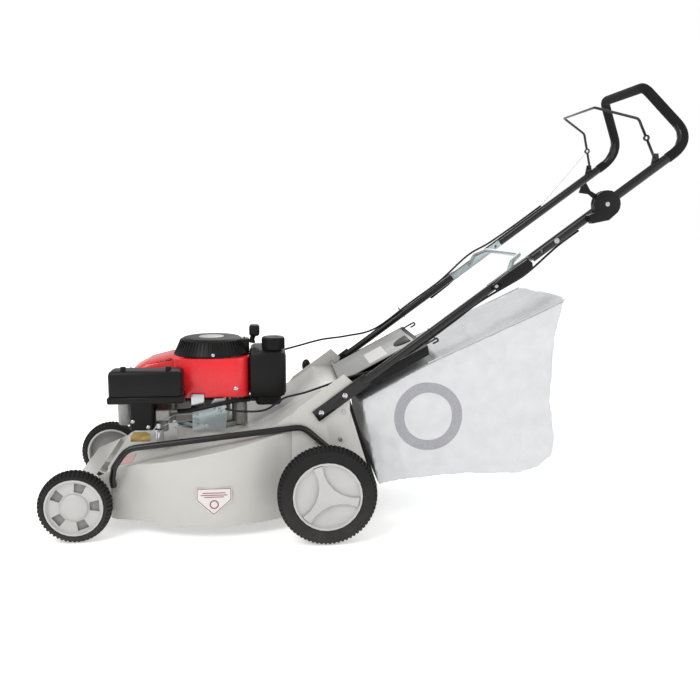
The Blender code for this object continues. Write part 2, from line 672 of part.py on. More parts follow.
def build_intake():
    """Air cleaner box, its cover and the carburettor behind it."""
    tray = block((*CLEANER_LOW, 0.080), (*CLEANER_HIGH, 0.097), 0.003)
    elbow = block((-0.189, -0.130, 0.008), (-0.131, -0.075, 0.086), 0.005)
    finish(join(tray, elbow), "air_filter_base", "black_plastic")
    lip = 0.003
    low = (CLEANER_LOW[0] + lip, CLEANER_LOW[1] + lip, 0.097 + GAP)
    high = (CLEANER_HIGH[0] - lip, CLEANER_HIGH[1] - lip, 0.157)
    rim = PAD_TOP + 0.150
    cover = block(low, high, 0.010, 2, lambda a, b: max(a.z, b.z) > rim)
    knobs = [post((dx, -0.143, 0.150), (dx, -0.143, 0.1655), 0.0065) for dx in (-0.196, -0.092)]
    finish(join(cover, *knobs), "air_filter_cover", "black_plastic")

    body = block((-0.1305, -0.120, 0.027), (-0.095, -0.064, 0.057), 0.003)
    bowl = post((-0.115, -0.096, 0.000), (-0.115, -0.096, 0.032), 0.0135, 14)
    stub = post((-0.099, -0.100, 0.048), (-0.079, -0.100, 0.048), 0.0045, 8)
    finish(join(body, bowl, stub), "carburettor", "cast_aluminium")

    outline = [(-0.044, 0.0), (0.035, 0.0), (0.041, 0.043), (0.034, 0.077), (0.011, 0.077),
               (-0.005, 0.057), (-0.044, 0.051)]
    holes = [(spot, 0.003, 8) for spot in PLATE_BOLTS]
    place = Matrix.Translation(engine(0, PLATE_Y - GAP - 0.001, 0)) @ Matrix.Rotation(math.pi / 2, 4, "X")
    finish(plate(outline, 0.001, place, holes), "control_plate", "zinc")


def shroud_solid(inset):
    """Blower housing over the flywheel with a nose over the cylinder."""
    floor = SHROUD_LOW - (0.02 if inset else 0.0)
    top = SHROUD_TOP - inset
    half = SHROUD_HALF - inset
    drum = block((-0.093 + inset, -half, floor), (SHROUD_REAR - inset, half, top), 0.030 - inset, 3,
                 lambda a, b: abs(a.z - b.z) > 0.05)
    tip = -0.213 + inset
    shape = [(-0.040, floor), (-0.040, top + 0.002), (-0.103, 0.1747 - inset), (-0.153, 0.162 - inset),
             (tip + 0.024, 0.143 - inset), (tip, 0.115 - inset * 0.5), (tip, floor)]
    half = NOSE_HALF - inset
    nose = prism([(ENGINE_X + dx, PAD_TOP + dz) for dx, dz in shape], -half, half)
    back, low = ENGINE_X - 0.06, PAD_TOP + 0.090
    soften(nose, 0.020 - inset, 2, lambda a, b: max(a.x, b.x) < back and min(a.z, b.z) > low
           and abs(a.y - b.y) < 0.01)
    return join(drum, nose)


REEL_POST_R = 0.0065
GRIP_X = RECOIL_R + 0.0125


def build_cooling():
    intake = post((0, 0, 0.150), (0, 0, 0.190), 0.080, 28)
    finish(cut(shroud_solid(0), shroud_solid(SHROUD_T), intake), "engine_shroud", "red_plastic")

    low = SHROUD_TOP + 0.0022    # clears the crown of the nose
    profile = [(0, 0.2172), (0.070, 0.2172), (0.077, 0.2112), (RECOIL_R, low + 0.006), (RECOIL_R, low),
               (RECOIL_R - 0.003, low), (RECOIL_R - 0.003, low + 0.005), (0.0735, 0.2087),
               (REEL_POST_R, 0.2142), (REEL_POST_R, 0.1847), (0, 0.1847)]
    cover = lathe(profile, on_shaft(), 28)
    guide = block((0.060, -0.013, 0.1997), (RECOIL_R - 0.001, 0.013, 0.2232), 0.004)
    hole = post((0.030, 0, 0.2092), (0.110, 0, 0.2135), 0.0045, 8)
    finish(cut(join(cover, guide), hole), "recoil_cover", "black_plastic")

    bore = REEL_POST_R + GAP
    reel = [(bore, 0.2010), (0.046, 0.2010), (0.040, 0.1960), (0.040, 0.1920), (0.046, 0.1862), (bore, 0.1862)]
    finish(lathe(reel, on_shaft(), 24, closed=True), "recoil_pulley", "black_plastic", engine(0, 0, 0.19))

    grip = block((GRIP_X - 0.013, -0.019, 0.195), (GRIP_X + 0.014, 0.019, 0.244), 0.008, 2)
    finish(grip, "starter_grip", "black_plastic", engine(GRIP_X, 0, 0.2195))

    bore = SHAFT_R + GAP
    wheel = [(bore, 0.133), (0.022, 0.133), (0.024, 0.120), (0.060, 0.120), (0.062, 0.133), (0.073, 0.133),
             (0.073, 0.103), (bore, 0.103)]
    finish(lathe(wheel, on_shaft(), 24, closed=True), "flywheel", "cast_aluminium", engine(0, 0, 0.11))


BLADE_BOLT_R = 0.0048


def build_drive():
    top = BLADE_Z + BLADE_T + GAP - PAD_TOP
    socket = BLADE_BOLT_R + 0.0004
    profile = [(0, 0.151), (0.008, 0.151), (0.008, 0.1415), (0.015, 0.1415), (0.015, 0.1335),
               (SHAFT_R, 0.1335), (SHAFT_R, -0.016), (0.0125, -0.018), (0.0125, top + 0.029),
               (0.0215, top + 0.027), (0.0215, top), (socket, top), (socket, top + 0.020), (0, top + 0.020)]
    finish(lathe(profile, on_shaft(), 16), "crankshaft", "steel", (ENGINE_X, 0, 0))

    half_l, half_w = BLADE_LENGTH / 2, BLADE_W / 2
    x, high = ENGINE_X, BLADE_Z + BLADE_T
    blade = box((x - half_w, -half_l, BLADE_Z), (x + half_w, half_l, high))
    for side in (-1, 1):
        edge = x - side * half_w
        fold = [(edge, BLADE_Z), (edge - side * 0.014, BLADE_Z + 0.012),
                (edge - side * 0.0115, high + 0.012), (edge + side * 0.003, high)]
        y_from, y_to = sorted((side * (half_l - 0.055), side * half_l))
        blade = join(blade, prism(fold, y_from, y_to))
    blade = cut(blade, rod((x, 0, BLADE_Z - 0.01), (x, 0, high + 0.01), BLADE_BOLT_R + 0.0012, 14))
    finish(blade, "cutting_blade", "steel", (ENGINE_X, 0, BLADE_Z))

    washer = rod((x, 0, BLADE_Z - GAP - 0.004), (x, 0, BLADE_Z - GAP), 0.018, 16)
    head = rod((x, 0, BLADE_Z - 0.013), (x, 0, BLADE_Z - 0.003), 0.011, 6)
    shank = rod((x, 0, BLADE_Z - 0.003), (x, 0, high + 0.018), BLADE_BOLT_R, 12)
    finish(join(washer, head, shank), "blade_bolt", "zinc", (ENGINE_X, 0, BLADE_Z))


TANK_FRONT, TANK_REAR = SHROUD_REAR + GAP, 0.184
CAP_X, CAP_Y, CAP_Z = 0.1535, -0.050, 0.1947


def build_fuel():
    low_y, high_y = -0.088, 0.070
    upper = block((TANK_FRONT, low_y, 0.073), (TANK_REAR, high_y, 0.189), 0.014, 2)
    lower = block((TANK_FRONT + 0.015, low_y + 0.012, 0.0527), (TANK_REAR - 0.013, high_y - 0.014, 0.090), 0.006)
    neck = post((CAP_X, CAP_Y, 0.180), (CAP_X, CAP_Y, CAP_Z + 0.012), 0.022, 18)
    spout = post((TANK_FRONT + 0.025, HOSE_END[1], HOSE_END[2]), (HOSE_END[0] + GAP, HOSE_END[1], HOSE_END[2]),
                 0.0040, 8)
    bore = post((CAP_X, CAP_Y, 0.100), (CAP_X, CAP_Y, 0.220), 0.019, 14)
    hollow = block((TANK_FRONT + 0.006, low_y + 0.006, 0.079), (TANK_REAR - 0.006, high_y - 0.006, 0.183))
    finish(cut(join(upper, lower, neck, spout), join(hollow, bore)), "fuel_tank", "black_plastic")

    low, high, out = CAP_Z - 0.004, CAP_Z + 0.0255, 0.0285
    cap = [(0, high), (out - 0.003, high), (out, high - 0.003), (out, low), (0.0223, low),
           (0.0223, CAP_Z + 0.0125), (0, CAP_Z + 0.0125)]
    place = Matrix.Translation(engine(CAP_X, CAP_Y, 0))
    finish(lathe(cap, place, 24), "fuel_cap", "black_plastic", engine(CAP_X, CAP_Y, CAP_Z))

    knots = ((-0.073, -0.1000, 0.0480), (-0.054, -0.1105, 0.0510), (-0.018, -0.1150, 0.058),
             (0.030, -0.1120, 0.0675), (0.066, -0.0870, 0.0690), (HOSE_END[0] - 0.008, *HOSE_END[1:]))
    route = smooth_route([engine(*knot) for knot in knots], 3)
    route = [engine(-0.0785, -0.1000, 0.0480)] + route + [engine(*HOSE_END)]
    finish(tube(route, HOSE_R, 8), "fuel_hose", "tyre_rubber")

    foot, top = engine(*FILLER_FOOT), engine(*FILLER_TOP)
    axis = (top - foot).normalized()
    turn = Vector((0, 0, 1)).rotation_difference(axis).to_matrix().to_4x4()
    stick = [(0, 0.016), (0.011, 0.016), (0.013, 0.012), (0.013, 0.0), (0, 0.0)]
    place = Matrix.Translation(top + axis * GAP) @ turn
    finish(lathe(stick, place, 14), "dipstick", "black_plastic", top)


# ---- handle -------------------------------------------------------------
def clamp_hole():
    """Cutter for the clamp bolt through the left side of the handle."""
    span = Vector((0, 0.03, 0))
    centre = CLAMP - Vector((0, TUBE_Y, 0))
    return rod(centre - span, centre + span, BOLT_R + GAP, 12)


def build_lower_handle():
    def leg():
        start, end = handle_point(-0.010), CLAMP + ALONG * LOWER_END
        offset = Vector((0, -TUBE_Y, 0))
        solid = tube([start + offset, end + offset], LOWER_TUBE_R, 14)
        near, far = handle_point(-0.118), handle_point(0.002)
        aside = ACROSS * STRAP_W / 2
        corners = [near - aside, far - aside, far + aside, near + aside]
        strap = prism([(p.x, p.z) for p in corners], -TUBE_Y - STRAP_T / 2, -TUBE_Y + STRAP_T / 2)
        solid = join(solid, strap)
        for x in (-0.105, -0.050):
            bolt = handle_point(x)
            solid = cut(solid, rod((bolt.x, -TUBE_Y - 0.01, bolt.z), (bolt.x, -TUBE_Y + 0.01, bolt.z), BOLT_R, 10))
        return cut(solid, clamp_hole())
    both_sides(leg, "lower_handle", "black_paint")


BRACE_Y = TUBE_Y - UPPER_TUBE_R - GAP      # outer face of the brace's legs
BRACE_T = 0.003
CAM_OUT = TUBE_Y + LOWER_TUBE_R + 0.001
CAM_PIVOT_Y = CAM_OUT + 0.008
CAM_PIN_R = 0.0022


def build_clamps():
    def bolt():
        inner = -(BRACE_Y - BRACE_T - GAP - 0.0035)
        shank = rod((CLAMP_X, inner, CLAMP_Z), (CLAMP_X, -CAM_OUT - 0.0125, CLAMP_Z), BOLT_R, 12)
        head = rod((CLAMP_X, inner, CLAMP_Z), (CLAMP_X, inner - 0.0035, CLAMP_Z), 0.0085, 12)
        pivot = Vector((CLAMP_X, -CAM_PIVOT_Y, CLAMP_Z))
        pin = rod(pivot - ACROSS * 0.0102, pivot + ACROSS * 0.0062, CAM_PIN_R, 8)
        return join(head, shank, pin)
    both_sides(bolt, "clamp_bolt", "zinc", (CLAMP_X, -CAM_PIVOT_Y, CLAMP_Z))

    for side_name, side, turn in (("left", -1, 1), ("right", 1, -1)):
        matrix = Matrix.Translation((CLAMP_X, side * CAM_PIVOT_Y, CLAMP_Z))
        matrix = matrix @ Matrix.Rotation(-HANDLE_ANGLE, 4, "Y")
        outline = [(-0.0055 * turn, -0.011), (-0.0055 * turn, 0.007), (0.030 * turn, 0.010),
                   (0.092 * turn, 0.008), (0.098 * turn, -0.004), (0.090 * turn, -0.018),
                   (0.030 * turn, -0.016)]
        flat = matrix @ Matrix.Rotation(math.pi / 2, 4, "X")
        lever = soften(plate(outline, 0.0065, flat), 0.002, 1, lambda a, b: abs(a.x - b.x) > 0.02)
        ends = sorted((-0.02 * turn, 0.009 * turn))
        slot = plate([(ends[0], -0.0045), (ends[1], -0.0045), (ends[1], 0.0045), (ends[0], 0.0045)], 0.02, flat)
        centre = Vector((CLAMP_X, side * CAM_PIVOT_Y, CLAMP_Z))
        lever = cut(lever, slot, rod(centre - ACROSS * 0.02, centre + ACROSS * 0.02, CAM_PIN_R + GAP, 10))
        finish(lever, "cam_lever_" + side_name, "black_plastic", matrix.to_translation())


def build_upper_handle():
    start = CLAMP + ALONG * UPPER_START
    bend = handle_point(LOOP_X, TUBE_Y)
    top = Vector((LOOP_X + LOOP_TOP_DX, LOOP_TOP_Y, LOOP_TOP_Z))
    half = [Vector((start.x, TUBE_Y, start.z)), bend, top]
    corners = [Vector((p.x, -p.y, p.z)) for p in half] + list(reversed(half))
    path = rounded_path(corners, (0.060, 0.035, 0.035, 0.060), 4)
    handle = tube(path, UPPER_TUBE_R, 12)
    span = Vector((0, 0.03, 0))
    for side in (-1, 1):
        spot = handle_point(YOKE_BOLT_X, side * TUBE_Y)
        handle = cut(handle, rod(spot - span, spot + span, BOLT_R, 10))
        ear_y = sorted((side * (BAIL_EAR_Y - 0.002), side * (BAIL_EAR_Y + 0.002)))
        foot = handle_point(BAIL_PIVOT.x, 0, 0.004)
        ear = prism([(foot.x - 0.010, foot.z - 0.008), (foot.x + 0.012, foot.z + 0.006),
                     (BAIL_PIVOT.x + 0.006, BAIL_PIVOT.z + 0.008), (BAIL_PIVOT.x - 0.006, BAIL_PIVOT.z + 0.008)],
                    *ear_y, holes=[((BAIL_PIVOT.x, BAIL_PIVOT.z), BAIL_ROD_R + GAP, 10)])
        handle = join(handle, ear)
    finish(handle, "upper_handle", "black_paint", CLAMP)


BAIL_PIVOT = Vector((0.672, 0, 0.8665))
BAIL_EAR_Y = TUBE_Y - 0.0015
BAIL_LEG_Y = BAIL_EAR_Y - 0.0075
BAIL_BEND = Vector((0.642, 0.170, 0.9560))
BAIL_TOP = Vector((0.560, 0.1045, 0.9890))
YOKE_BOLT_X = 0.407


def build_brace():
    """Galvanised yoke: a leg beside each tube and a bowed bar across."""
    legs = []
    for side in (-1, 1):
        lower, upper = CLAMP - ALONG * 0.012, handle_point(0.420)
        aside = ACROSS * 0.0085
        y_pair = sorted((side * BRACE_Y, side * (BRACE_Y - BRACE_T)))
        corners = [lower - aside, upper - aside, upper + aside, lower + aside]
        pivot_hole = ((CLAMP.x, CLAMP.z), BOLT_R + GAP, 12)
        bolt = handle_point(YOKE_BOLT_X)
        legs.append(prism([(p.x, p.z) for p in corners], *y_pair,
                          holes=[pivot_hole, ((bolt.x, bolt.z), BOLT_R, 10)]))
    start = handle_point(0.335, BRACE_Y - BRACE_T / 2)
    knee = handle_point(0.356, BRACE_Y - BRACE_T / 2 - 0.012, 0.016)
    half = [start, knee, Vector((0.372, 0.150, 0.6415))]
    corners = [Vector((p.x, -p.y, p.z)) for p in half] + list(reversed(half))
    bar = tube(rounded_path(corners, (0.010, 0.020, 0.020, 0.010), 2), 0.006, 8)
    for side in (-1, 1):
        bar = cut(bar, box((0.30, min(side * BRACE_Y, side * 0.25), 0.55),
                           (0.40, max(side * BRACE_Y, side * 0.25), 0.70)))
    finish(join(bar, *legs), "handle_brace", "zinc", CLAMP)


def build_bail():
    """Engine-stop bail, a thin rod hinged in ears on the handle loop."""
    y = BAIL_LEG_Y
    pin = BAIL_EAR_Y + 0.004
    half = [Vector((BAIL_PIVOT.x, pin, BAIL_PIVOT.z)), Vector((BAIL_PIVOT.x, y, BAIL_PIVOT.z)),
            BAIL_BEND, BAIL_TOP]
    corners = [Vector((p.x, -p.y, p.z)) for p in half] + list(reversed(half))
    radii = (0.005, 0.012, 0.012, 0.012, 0.012, 0.005)
    bail = tube(rounded_path(corners, radii, 2), BAIL_ROD_R, 8)
    leg_top = Vector((BAIL_PIVOT.x, y, BAIL_PIVOT.z))
    for side in (-1, 1):
        eye = leg_top.lerp(BAIL_BEND, 0.5)
        eye.y *= side
        half_eye, span = Vector((0, 0.0026, 0)), Vector((0, 0.01, 0))
        bail = join(bail, rod(eye - half_eye, eye + half_eye, 0.0075, 12))
        bail = cut(bail, rod(eye - span, eye + span, 0.0038, 8))
    finish(bail, "stop_bail", "black_paint", BAIL_PIVOT)


THROTTLE = Vector((0.548, 0, 0.758))


def build_throttle():
    inner = TUBE_Y + UPPER_TUBE_R + GAP
    outer = inner + 0.022
    outline = arc((THROTTLE.x, THROTTLE.z), 0.0315, math.radians(-35), math.radians(215), 14)
    outline += [(THROTTLE.x - 0.044, THROTTLE.z - 0.026), (THROTTLE.x - 0.034, THROTTLE.z - 0.044),
                (THROTTLE.x + 0.006, THROTTLE.z - 0.036)]
    housing_solid = prism(outline, -outer, -inner)
    slit = prism(arc((THROTTLE.x, THROTTLE.z), 0.040, math.radians(30), math.radians(178), 12)
                 + [(THROTTLE.x, THROTTLE.z)], -inner - 0.015, -inner - 0.007)
    disc = rod((THROTTLE.x, -inner - 0.015, THROTTLE.z), (THROTTLE.x, -inner - 0.007, THROTTLE.z), 0.020, 20)
    housing_solid = cut(housing_solid, join(slit, disc))
    finish(housing_solid, "throttle_housing", "black_plastic")

    place = side_plane(-inner - 0.011) @ Matrix.Translation((THROTTLE.x, THROTTLE.z, 0))
    place = place @ Matrix.Rotation(math.radians(147), 4, "Z")
    blade = [(0.0, -0.006), (0.032, -0.006), (0.048, -0.0045), (0.068, -0.014), (0.072, 0.0), (0.068, 0.014),
             (0.048, 0.0045), (0.032, 0.006), (0.0, 0.006)]
    lever = join(plate(blade, 0.003, place), plate(arc((0, 0), 0.0185, 0, 2 * math.pi, 16, False), 0.003, place))
    finish(lever, "throttle_lever", "black_plastic", (THROTTLE.x, -inner - 0.011, THROTTLE.z))


CABLE_R = 0.0026


def build_cables():
    """Two sheathed cables, each in a lower and an upper length about the fold."""
    inside = TUBE_Y - 0.005
    under, over = -(LOWER_TUBE_R + CABLE_R + 0.0008), LOWER_TUBE_R + CABLE_R + 0.0008
    step = UPPER_TUBE_R - LOWER_TUBE_R

    lower = [engine(0.037, -0.104, 0.051), engine(0.077, -0.112, 0.0465), engine(0.132, -0.116, 0.0500),
             engine(0.177, -0.120, 0.0788), engine(0.227, -0.142, 0.0962), engine(0.280, -0.173, 0.1205),
             engine(0.330, -0.188, 0.1410), handle_point(0.030, -0.1865, -0.002),
             handle_point(0.075, -0.190, -0.010)]
    lower += [handle_point(x, -inside, under) for x in (0.110, 0.200)]
    lower += [handle_point(0.262, -inside + 0.004, under)]
    past_tube = TUBE_Y - LOWER_TUBE_R - CABLE_R - 0.0025    # swings past the lower tube's end
    upper = [handle_point(0.345, -past_tube, under - 0.012), handle_point(0.372, -past_tube, under - 0.012),
             handle_point(0.392, -past_tube, under - 0.010)]
    upper += [handle_point(x, -inside, under - step) for x in (0.440, 0.488)]
    finish(tube(smooth_route(lower, 2), CABLE_R, 8), "throttle_cable_lower", "tyre_rubber")
    finish(tube(smooth_route(upper, 2), CABLE_R, 8), "throttle_cable_upper", "tyre_rubber")

    side = SHROUD_HALF + 0.001 + CABLE_R
    lower = [engine(0.037, side, 0.135), engine(0.077, side + 0.001, 0.140), engine(0.137, 0.112, 0.151),
             engine(0.217, 0.147, 0.166), engine(0.287, 0.172, 0.180), engine(0.357, inside - 0.006, 0.186)]
    lower += [handle_point(x, inside, over) for x in (0.080, 0.180, 0.262)]
    upper = [handle_point(0.345, inside - 0.004, over + 0.012),
             handle_point(0.400, inside, over + 0.004)]
    upper += [handle_point(x, inside, over + step) for x in (0.470, 0.545)]
    finish(tube(smooth_route(lower, 2), CABLE_R, 8), "brake_cable_lower", "tyre_rubber")
    finish(tube(smooth_route(upper, 2), CABLE_R, 8), "brake_cable_upper", "tyre_rubber")


# ---- flap and bag ------------------------------------------------------
FLAP_HINGE = Vector((-0.050, 0, 0.3335))
SLIDE = Vector((1, 0, FLAP_SLOPE)).normalized()
LIFT = Vector((-SLIDE.z, 0, SLIDE.x))


def flap_point(along, lift):
    return FLAP_HINGE + SLIDE * along + LIFT * lift


FLAP_HALF, FLAP_LENGTH = 0.122, 0.205
FLAP_LOW, FLAP_HIGH = 0.0018, 0.0043     # faces of the panel over its hinge line
HINGE_R = 0.004
LID_TOP = -0.006                 # top of the bag's lid, under the hinge line


def flap_prism(shape, y_low, y_high):
    """A prism whose outline runs along and above the flap's slope."""
    corners = [flap_point(along, lift) for along, lift in shape]
    return prism([(p.x, p.z) for p in corners], y_low, y_high)


def build_flap():
    inside, seat = FLAP_LENGTH - 0.003, LID_TOP + GAP
    panel = flap_prism([(0, FLAP_LOW), (inside, FLAP_LOW), (inside, seat), (FLAP_LENGTH, seat),
                        (FLAP_LENGTH, FLAP_HIGH), (0, FLAP_HIGH)], -FLAP_HALF, FLAP_HALF)
    span = Vector((0, TUNNEL_HALF - 0.0005, 0))
    hinge = rod(FLAP_HINGE - span, FLAP_HINGE + span, HINGE_R, 10)
    finish(join(panel, hinge), "rear_flap", "flap_paint", FLAP_HINGE)


def mouth_prism(low, high, reach, half):
    """A cutter through the leaning mouth between two heights."""
    corners = [(mouth_x(low) - reach, low), (mouth_x(low) + reach, low),
               (mouth_x(high) + reach, high), (mouth_x(high) - reach, high)]
    return prism(corners, -half, half)


def bag_outline(inset):
    """Side view of the bag, from its lower front corner round to the top."""
    corners = [(mouth_x(0.096) + 0.012, 0.094), (0.110, 0.106), (0.250, 0.1145), (0.376, 0.111),
               (0.425, 0.124), (0.461, 0.153), (0.466, 0.200), (0.451, 0.297), (0.457, 0.440),
               (0.476, 0.536), (0.404, 0.502), (0.245, 0.431), (0.150, 0.389), (-0.012, 0.3035)]
    points = [Vector((x, z)) for x, z in corners]
    if not inset:
        return [tuple(p) for p in points]
    result = []
    for i, point in enumerate(points):
        before, after = points[i - 1], points[(i + 1) % len(points)]
        into, out = (point - before).normalized(), (after - point).normalized()
        normal = Vector((-into.y - out.y, into.x + out.x)).normalized()
        shrink = inset / max(0.35, normal.dot(Vector((-into.y, into.x))))
        result.append(tuple(point + normal * shrink))
    return result


def build_bag():
    bag = soften(prism(bag_outline(0), -BAG_HALF, BAG_HALF), 0.012, 2,
                 lambda a, b: abs(a.y - b.y) < 0.01 and min(a.x, b.x) > 0.03)
    hollow = prism(bag_outline(BAG_T), -BAG_HALF + BAG_T, BAG_HALF - BAG_T)
    doorway = mouth_prism(0.135, 0.286, 0.04, BAG_HALF - 0.020)
    finish(cut(bag, join(hollow, doorway)), "grass_bag", "bag_fabric")

    front, back = 0.0010, 0.0010 + FRAME_T
    top, low = 0.3160, 0.0935
    half = BAG_HALF - 0.001
    ring = prism([(mouth_x(low) + front, low), (mouth_x(low) + back, low), (mouth_x(top) + back, top),
                  (mouth_x(top) + front, top)], -half, half)
    ring = cut(ring, mouth_prism(0.140, 0.288, 0.05, half - 0.018))
    lid = [(0, LID_TOP), (0, LID_TOP - 0.024), (0.214, LID_TOP - 0.0215), (0.220, LID_TOP)]
    room = [(-0.004, LID_TOP - 0.050), (-0.004, LID_TOP - 0.0215), (0.004, LID_TOP - 0.004),
            (0.214, LID_TOP - 0.004), (0.211, LID_TOP - 0.050)]
    lid = cut(flap_prism(lid, -half, half), flap_prism(room, -half + 0.004, half - 0.004))
    finish(join(ring, lid), "bag_frame", "black_plastic")


# ---- assembly -----------------------------------------------------------
for leftover in list(bpy.data.objects):
    bpy.data.objects.remove(leftover)
MOWER = bpy.data.collections.new("lawn_mower")
bpy.context.scene.collection.children.link(MOWER)
MATERIALS = {name: make_material(name, *look) for name, look in PALETTE.items()}

build_deck()
build_rails()
build_brackets()
build_wheels()
build_height_adjust()
build_crankcase()
build_intake()
build_cooling()
build_drive()
build_fuel()
build_lower_handle()
build_clamps()
build_upper_handle()
build_brace()
build_bail()
build_throttle()
build_cables()
build_flap()
build_bag()
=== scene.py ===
"""Petrol push lawn mower with a grass bag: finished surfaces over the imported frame.

Laid out as an add-on and run as a script. Every piece is in metres in the
frame's own axes: the front faces -X and the operator's left is -Y.
"""
import json
import math

import bmesh
import bpy
from mathutils import Matrix, Vector, noise

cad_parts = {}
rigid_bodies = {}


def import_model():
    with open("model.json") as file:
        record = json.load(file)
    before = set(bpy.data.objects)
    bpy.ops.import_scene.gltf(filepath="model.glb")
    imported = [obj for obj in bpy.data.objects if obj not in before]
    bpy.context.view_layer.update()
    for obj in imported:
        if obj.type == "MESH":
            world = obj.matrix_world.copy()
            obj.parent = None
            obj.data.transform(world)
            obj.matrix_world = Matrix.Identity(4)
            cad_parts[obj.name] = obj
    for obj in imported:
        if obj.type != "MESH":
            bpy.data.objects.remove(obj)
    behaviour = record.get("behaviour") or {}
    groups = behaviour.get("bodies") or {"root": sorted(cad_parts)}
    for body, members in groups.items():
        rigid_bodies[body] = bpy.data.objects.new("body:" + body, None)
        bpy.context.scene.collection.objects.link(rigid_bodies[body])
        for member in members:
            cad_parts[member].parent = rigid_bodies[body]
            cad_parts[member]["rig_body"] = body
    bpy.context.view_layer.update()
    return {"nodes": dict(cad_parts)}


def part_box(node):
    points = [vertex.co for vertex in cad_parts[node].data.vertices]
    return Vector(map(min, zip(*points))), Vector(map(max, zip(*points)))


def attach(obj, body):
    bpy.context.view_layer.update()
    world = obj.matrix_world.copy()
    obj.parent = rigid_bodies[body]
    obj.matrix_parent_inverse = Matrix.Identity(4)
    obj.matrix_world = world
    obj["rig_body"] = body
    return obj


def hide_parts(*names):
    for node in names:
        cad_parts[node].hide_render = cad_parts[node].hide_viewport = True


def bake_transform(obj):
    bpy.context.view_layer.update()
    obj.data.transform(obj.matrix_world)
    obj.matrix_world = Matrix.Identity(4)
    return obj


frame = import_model()
NODES = frame["nodes"]

bl_info = {
    "name": "Push Lawn Mower",
    "version": (1, 0, 0),
    "blender": (4, 5, 0),
    "location": "3D View > Sidebar > Mower",
    "description": "Builds the visible pieces and finishes of a petrol push lawn mower",
    "category": "Add Mesh",
}

ENGINE_SEAT = Vector((-0.367, 0, 0.2188))
CLAMP = Vector((0.298, 0, 0.572))
ANGLE = math.radians(36)
ALONG = Vector((math.cos(ANGLE), 0, math.sin(ANGLE)))
ACROSS = Vector((-math.sin(ANGLE), 0, math.cos(ANGLE)))
TUBE_Y = 0.2051
FLAP_HINGE = Vector((-0.050, 0, 0.3335))
SLIDE = Vector((1, 0, 0.527)).normalized()
LIFT = Vector((-SLIDE.z, 0, SLIDE.x))
CORNERS = ("front_left", "front_right", "rear_left", "rear_right")


# ---- places --------------------------------------------------------------
def engine(dx, y, dz):
    """A point measured from the crankshaft on the engine's seat."""
    return ENGINE_SEAT + Vector((dx, y, dz))


def on_handle(x, y=0.0, lift=0.0):
    """A point above x on the handle's slope, lifted square to it."""
    return CLAMP + ALONG * ((x - CLAMP.x) / ALONG.x) + ACROSS * lift + Vector((0, y, 0))


def on_flap(along, lift, y=0.0):
    """A point on the closed flap, along it from its hinge and lifted off its face."""
    return FLAP_HINGE + SLIDE * along + LIFT * lift + Vector((0, y, 0))


def eased(knots, steps):
    """A smooth line through every knot."""
    pts = [Vector(k) for k in knots]
    pts = [pts[0] * 2 - pts[1]] + pts + [pts[-1] * 2 - pts[-2]]
    line = []
    for a, b, c, d in zip(pts, pts[1:], pts[2:], pts[3:]):
        for i in range(steps):
            t = i / steps
            line.append((b * 2 + (c - a) * t + (a * 2 - b * 5 + c * 4 - d) * t ** 2
                         + (b * 3 - a - c * 3 + d) * t ** 3) / 2)
    return line + [pts[-2]]


def filleted(corners, radii, steps=8):
    """A line through corners, each rounded off with its own radius."""
    pts = [Vector(c) for c in corners]
    line = [pts[0]]
    for a, b, c, r in zip(pts, pts[1:], pts[2:], radii):
        u, v = (a - b).normalized(), (c - b).normalized()
        half = u.angle(v) / 2
        reach = min(r / math.tan(half), (a - b).length * 0.49, (c - b).length * 0.49)
        for i in range(steps + 1):
            t = i / steps
            line.append((b + u * reach) * (1 - t) ** 2 + b * 2 * t * (1 - t) + (b + v * reach) * t ** 2)
    return line + [pts[-1]]


# ---- tools ---------------------------------------------------------------
def take(obj):
    """Only this object is selected and active."""
    if bpy.context.object and bpy.context.object.mode != "OBJECT":
        bpy.ops.object.mode_set(mode="OBJECT")
    bpy.ops.object.select_all(action="DESELECT")
    obj.hide_set(False)
    obj.select_set(True)
    bpy.context.view_layer.objects.active = obj
    return obj


def clear():
    """Nothing is selected, and no piece is in edit mode."""
    if bpy.context.object and bpy.context.object.mode != "OBJECT":
        bpy.ops.object.mode_set(mode="OBJECT")
    bpy.ops.object.select_all(action="DESELECT")


def modify(obj, kind, **settings):
    """Adds one modifier with its settings and applies it."""
    take(obj)
    bpy.ops.object.modifier_add(type=kind)
    step = obj.modifiers[-1]
    for key, value in settings.items():
        setattr(step, key, value)
    bpy.ops.object.modifier_apply(modifier=step.name)
    return obj


def place(obj):
    """Puts the object's place, turn and scale into its mesh."""
    take(obj)
    bpy.ops.object.transform_apply(location=True, rotation=True, scale=True)
    return obj


def tidy_normals(obj):
    """Merges doubles and turns every face outwards."""
    take(obj)
    bpy.ops.object.mode_set(mode="EDIT")
    bpy.ops.mesh.select_all(action="SELECT")
    bpy.ops.mesh.remove_doubles(threshold=0.00002)
    bpy.ops.mesh.normals_make_consistent(inside=False)
    bpy.ops.object.mode_set(mode="OBJECT")
    return obj


def pick_faces(obj, test):
    """In edit mode, selects the faces whose centre and normal pass a test."""
    bpy.ops.mesh.select_mode(type="FACE")
    mesh = bmesh.from_edit_mesh(obj.data)
    for face in mesh.faces:
        face.select_set(False)
    for face in mesh.faces:
        if test(face.calc_center_median(), face.normal):
            face.select_set(True)
    bmesh.update_edit_mesh(obj.data)


def block(low, high, bevel=0.001, segments=3):
    """A cube drawn out to two corners, with its edges rounded."""
    clear()
    low, high = Vector(low), Vector(high)
    bpy.ops.mesh.primitive_cube_add(size=1, location=(low + high) / 2, scale=high - low)
    obj = place(bpy.context.object)
    return modify(obj, "BEVEL", width=bevel, segments=segments, limit_method="ANGLE")


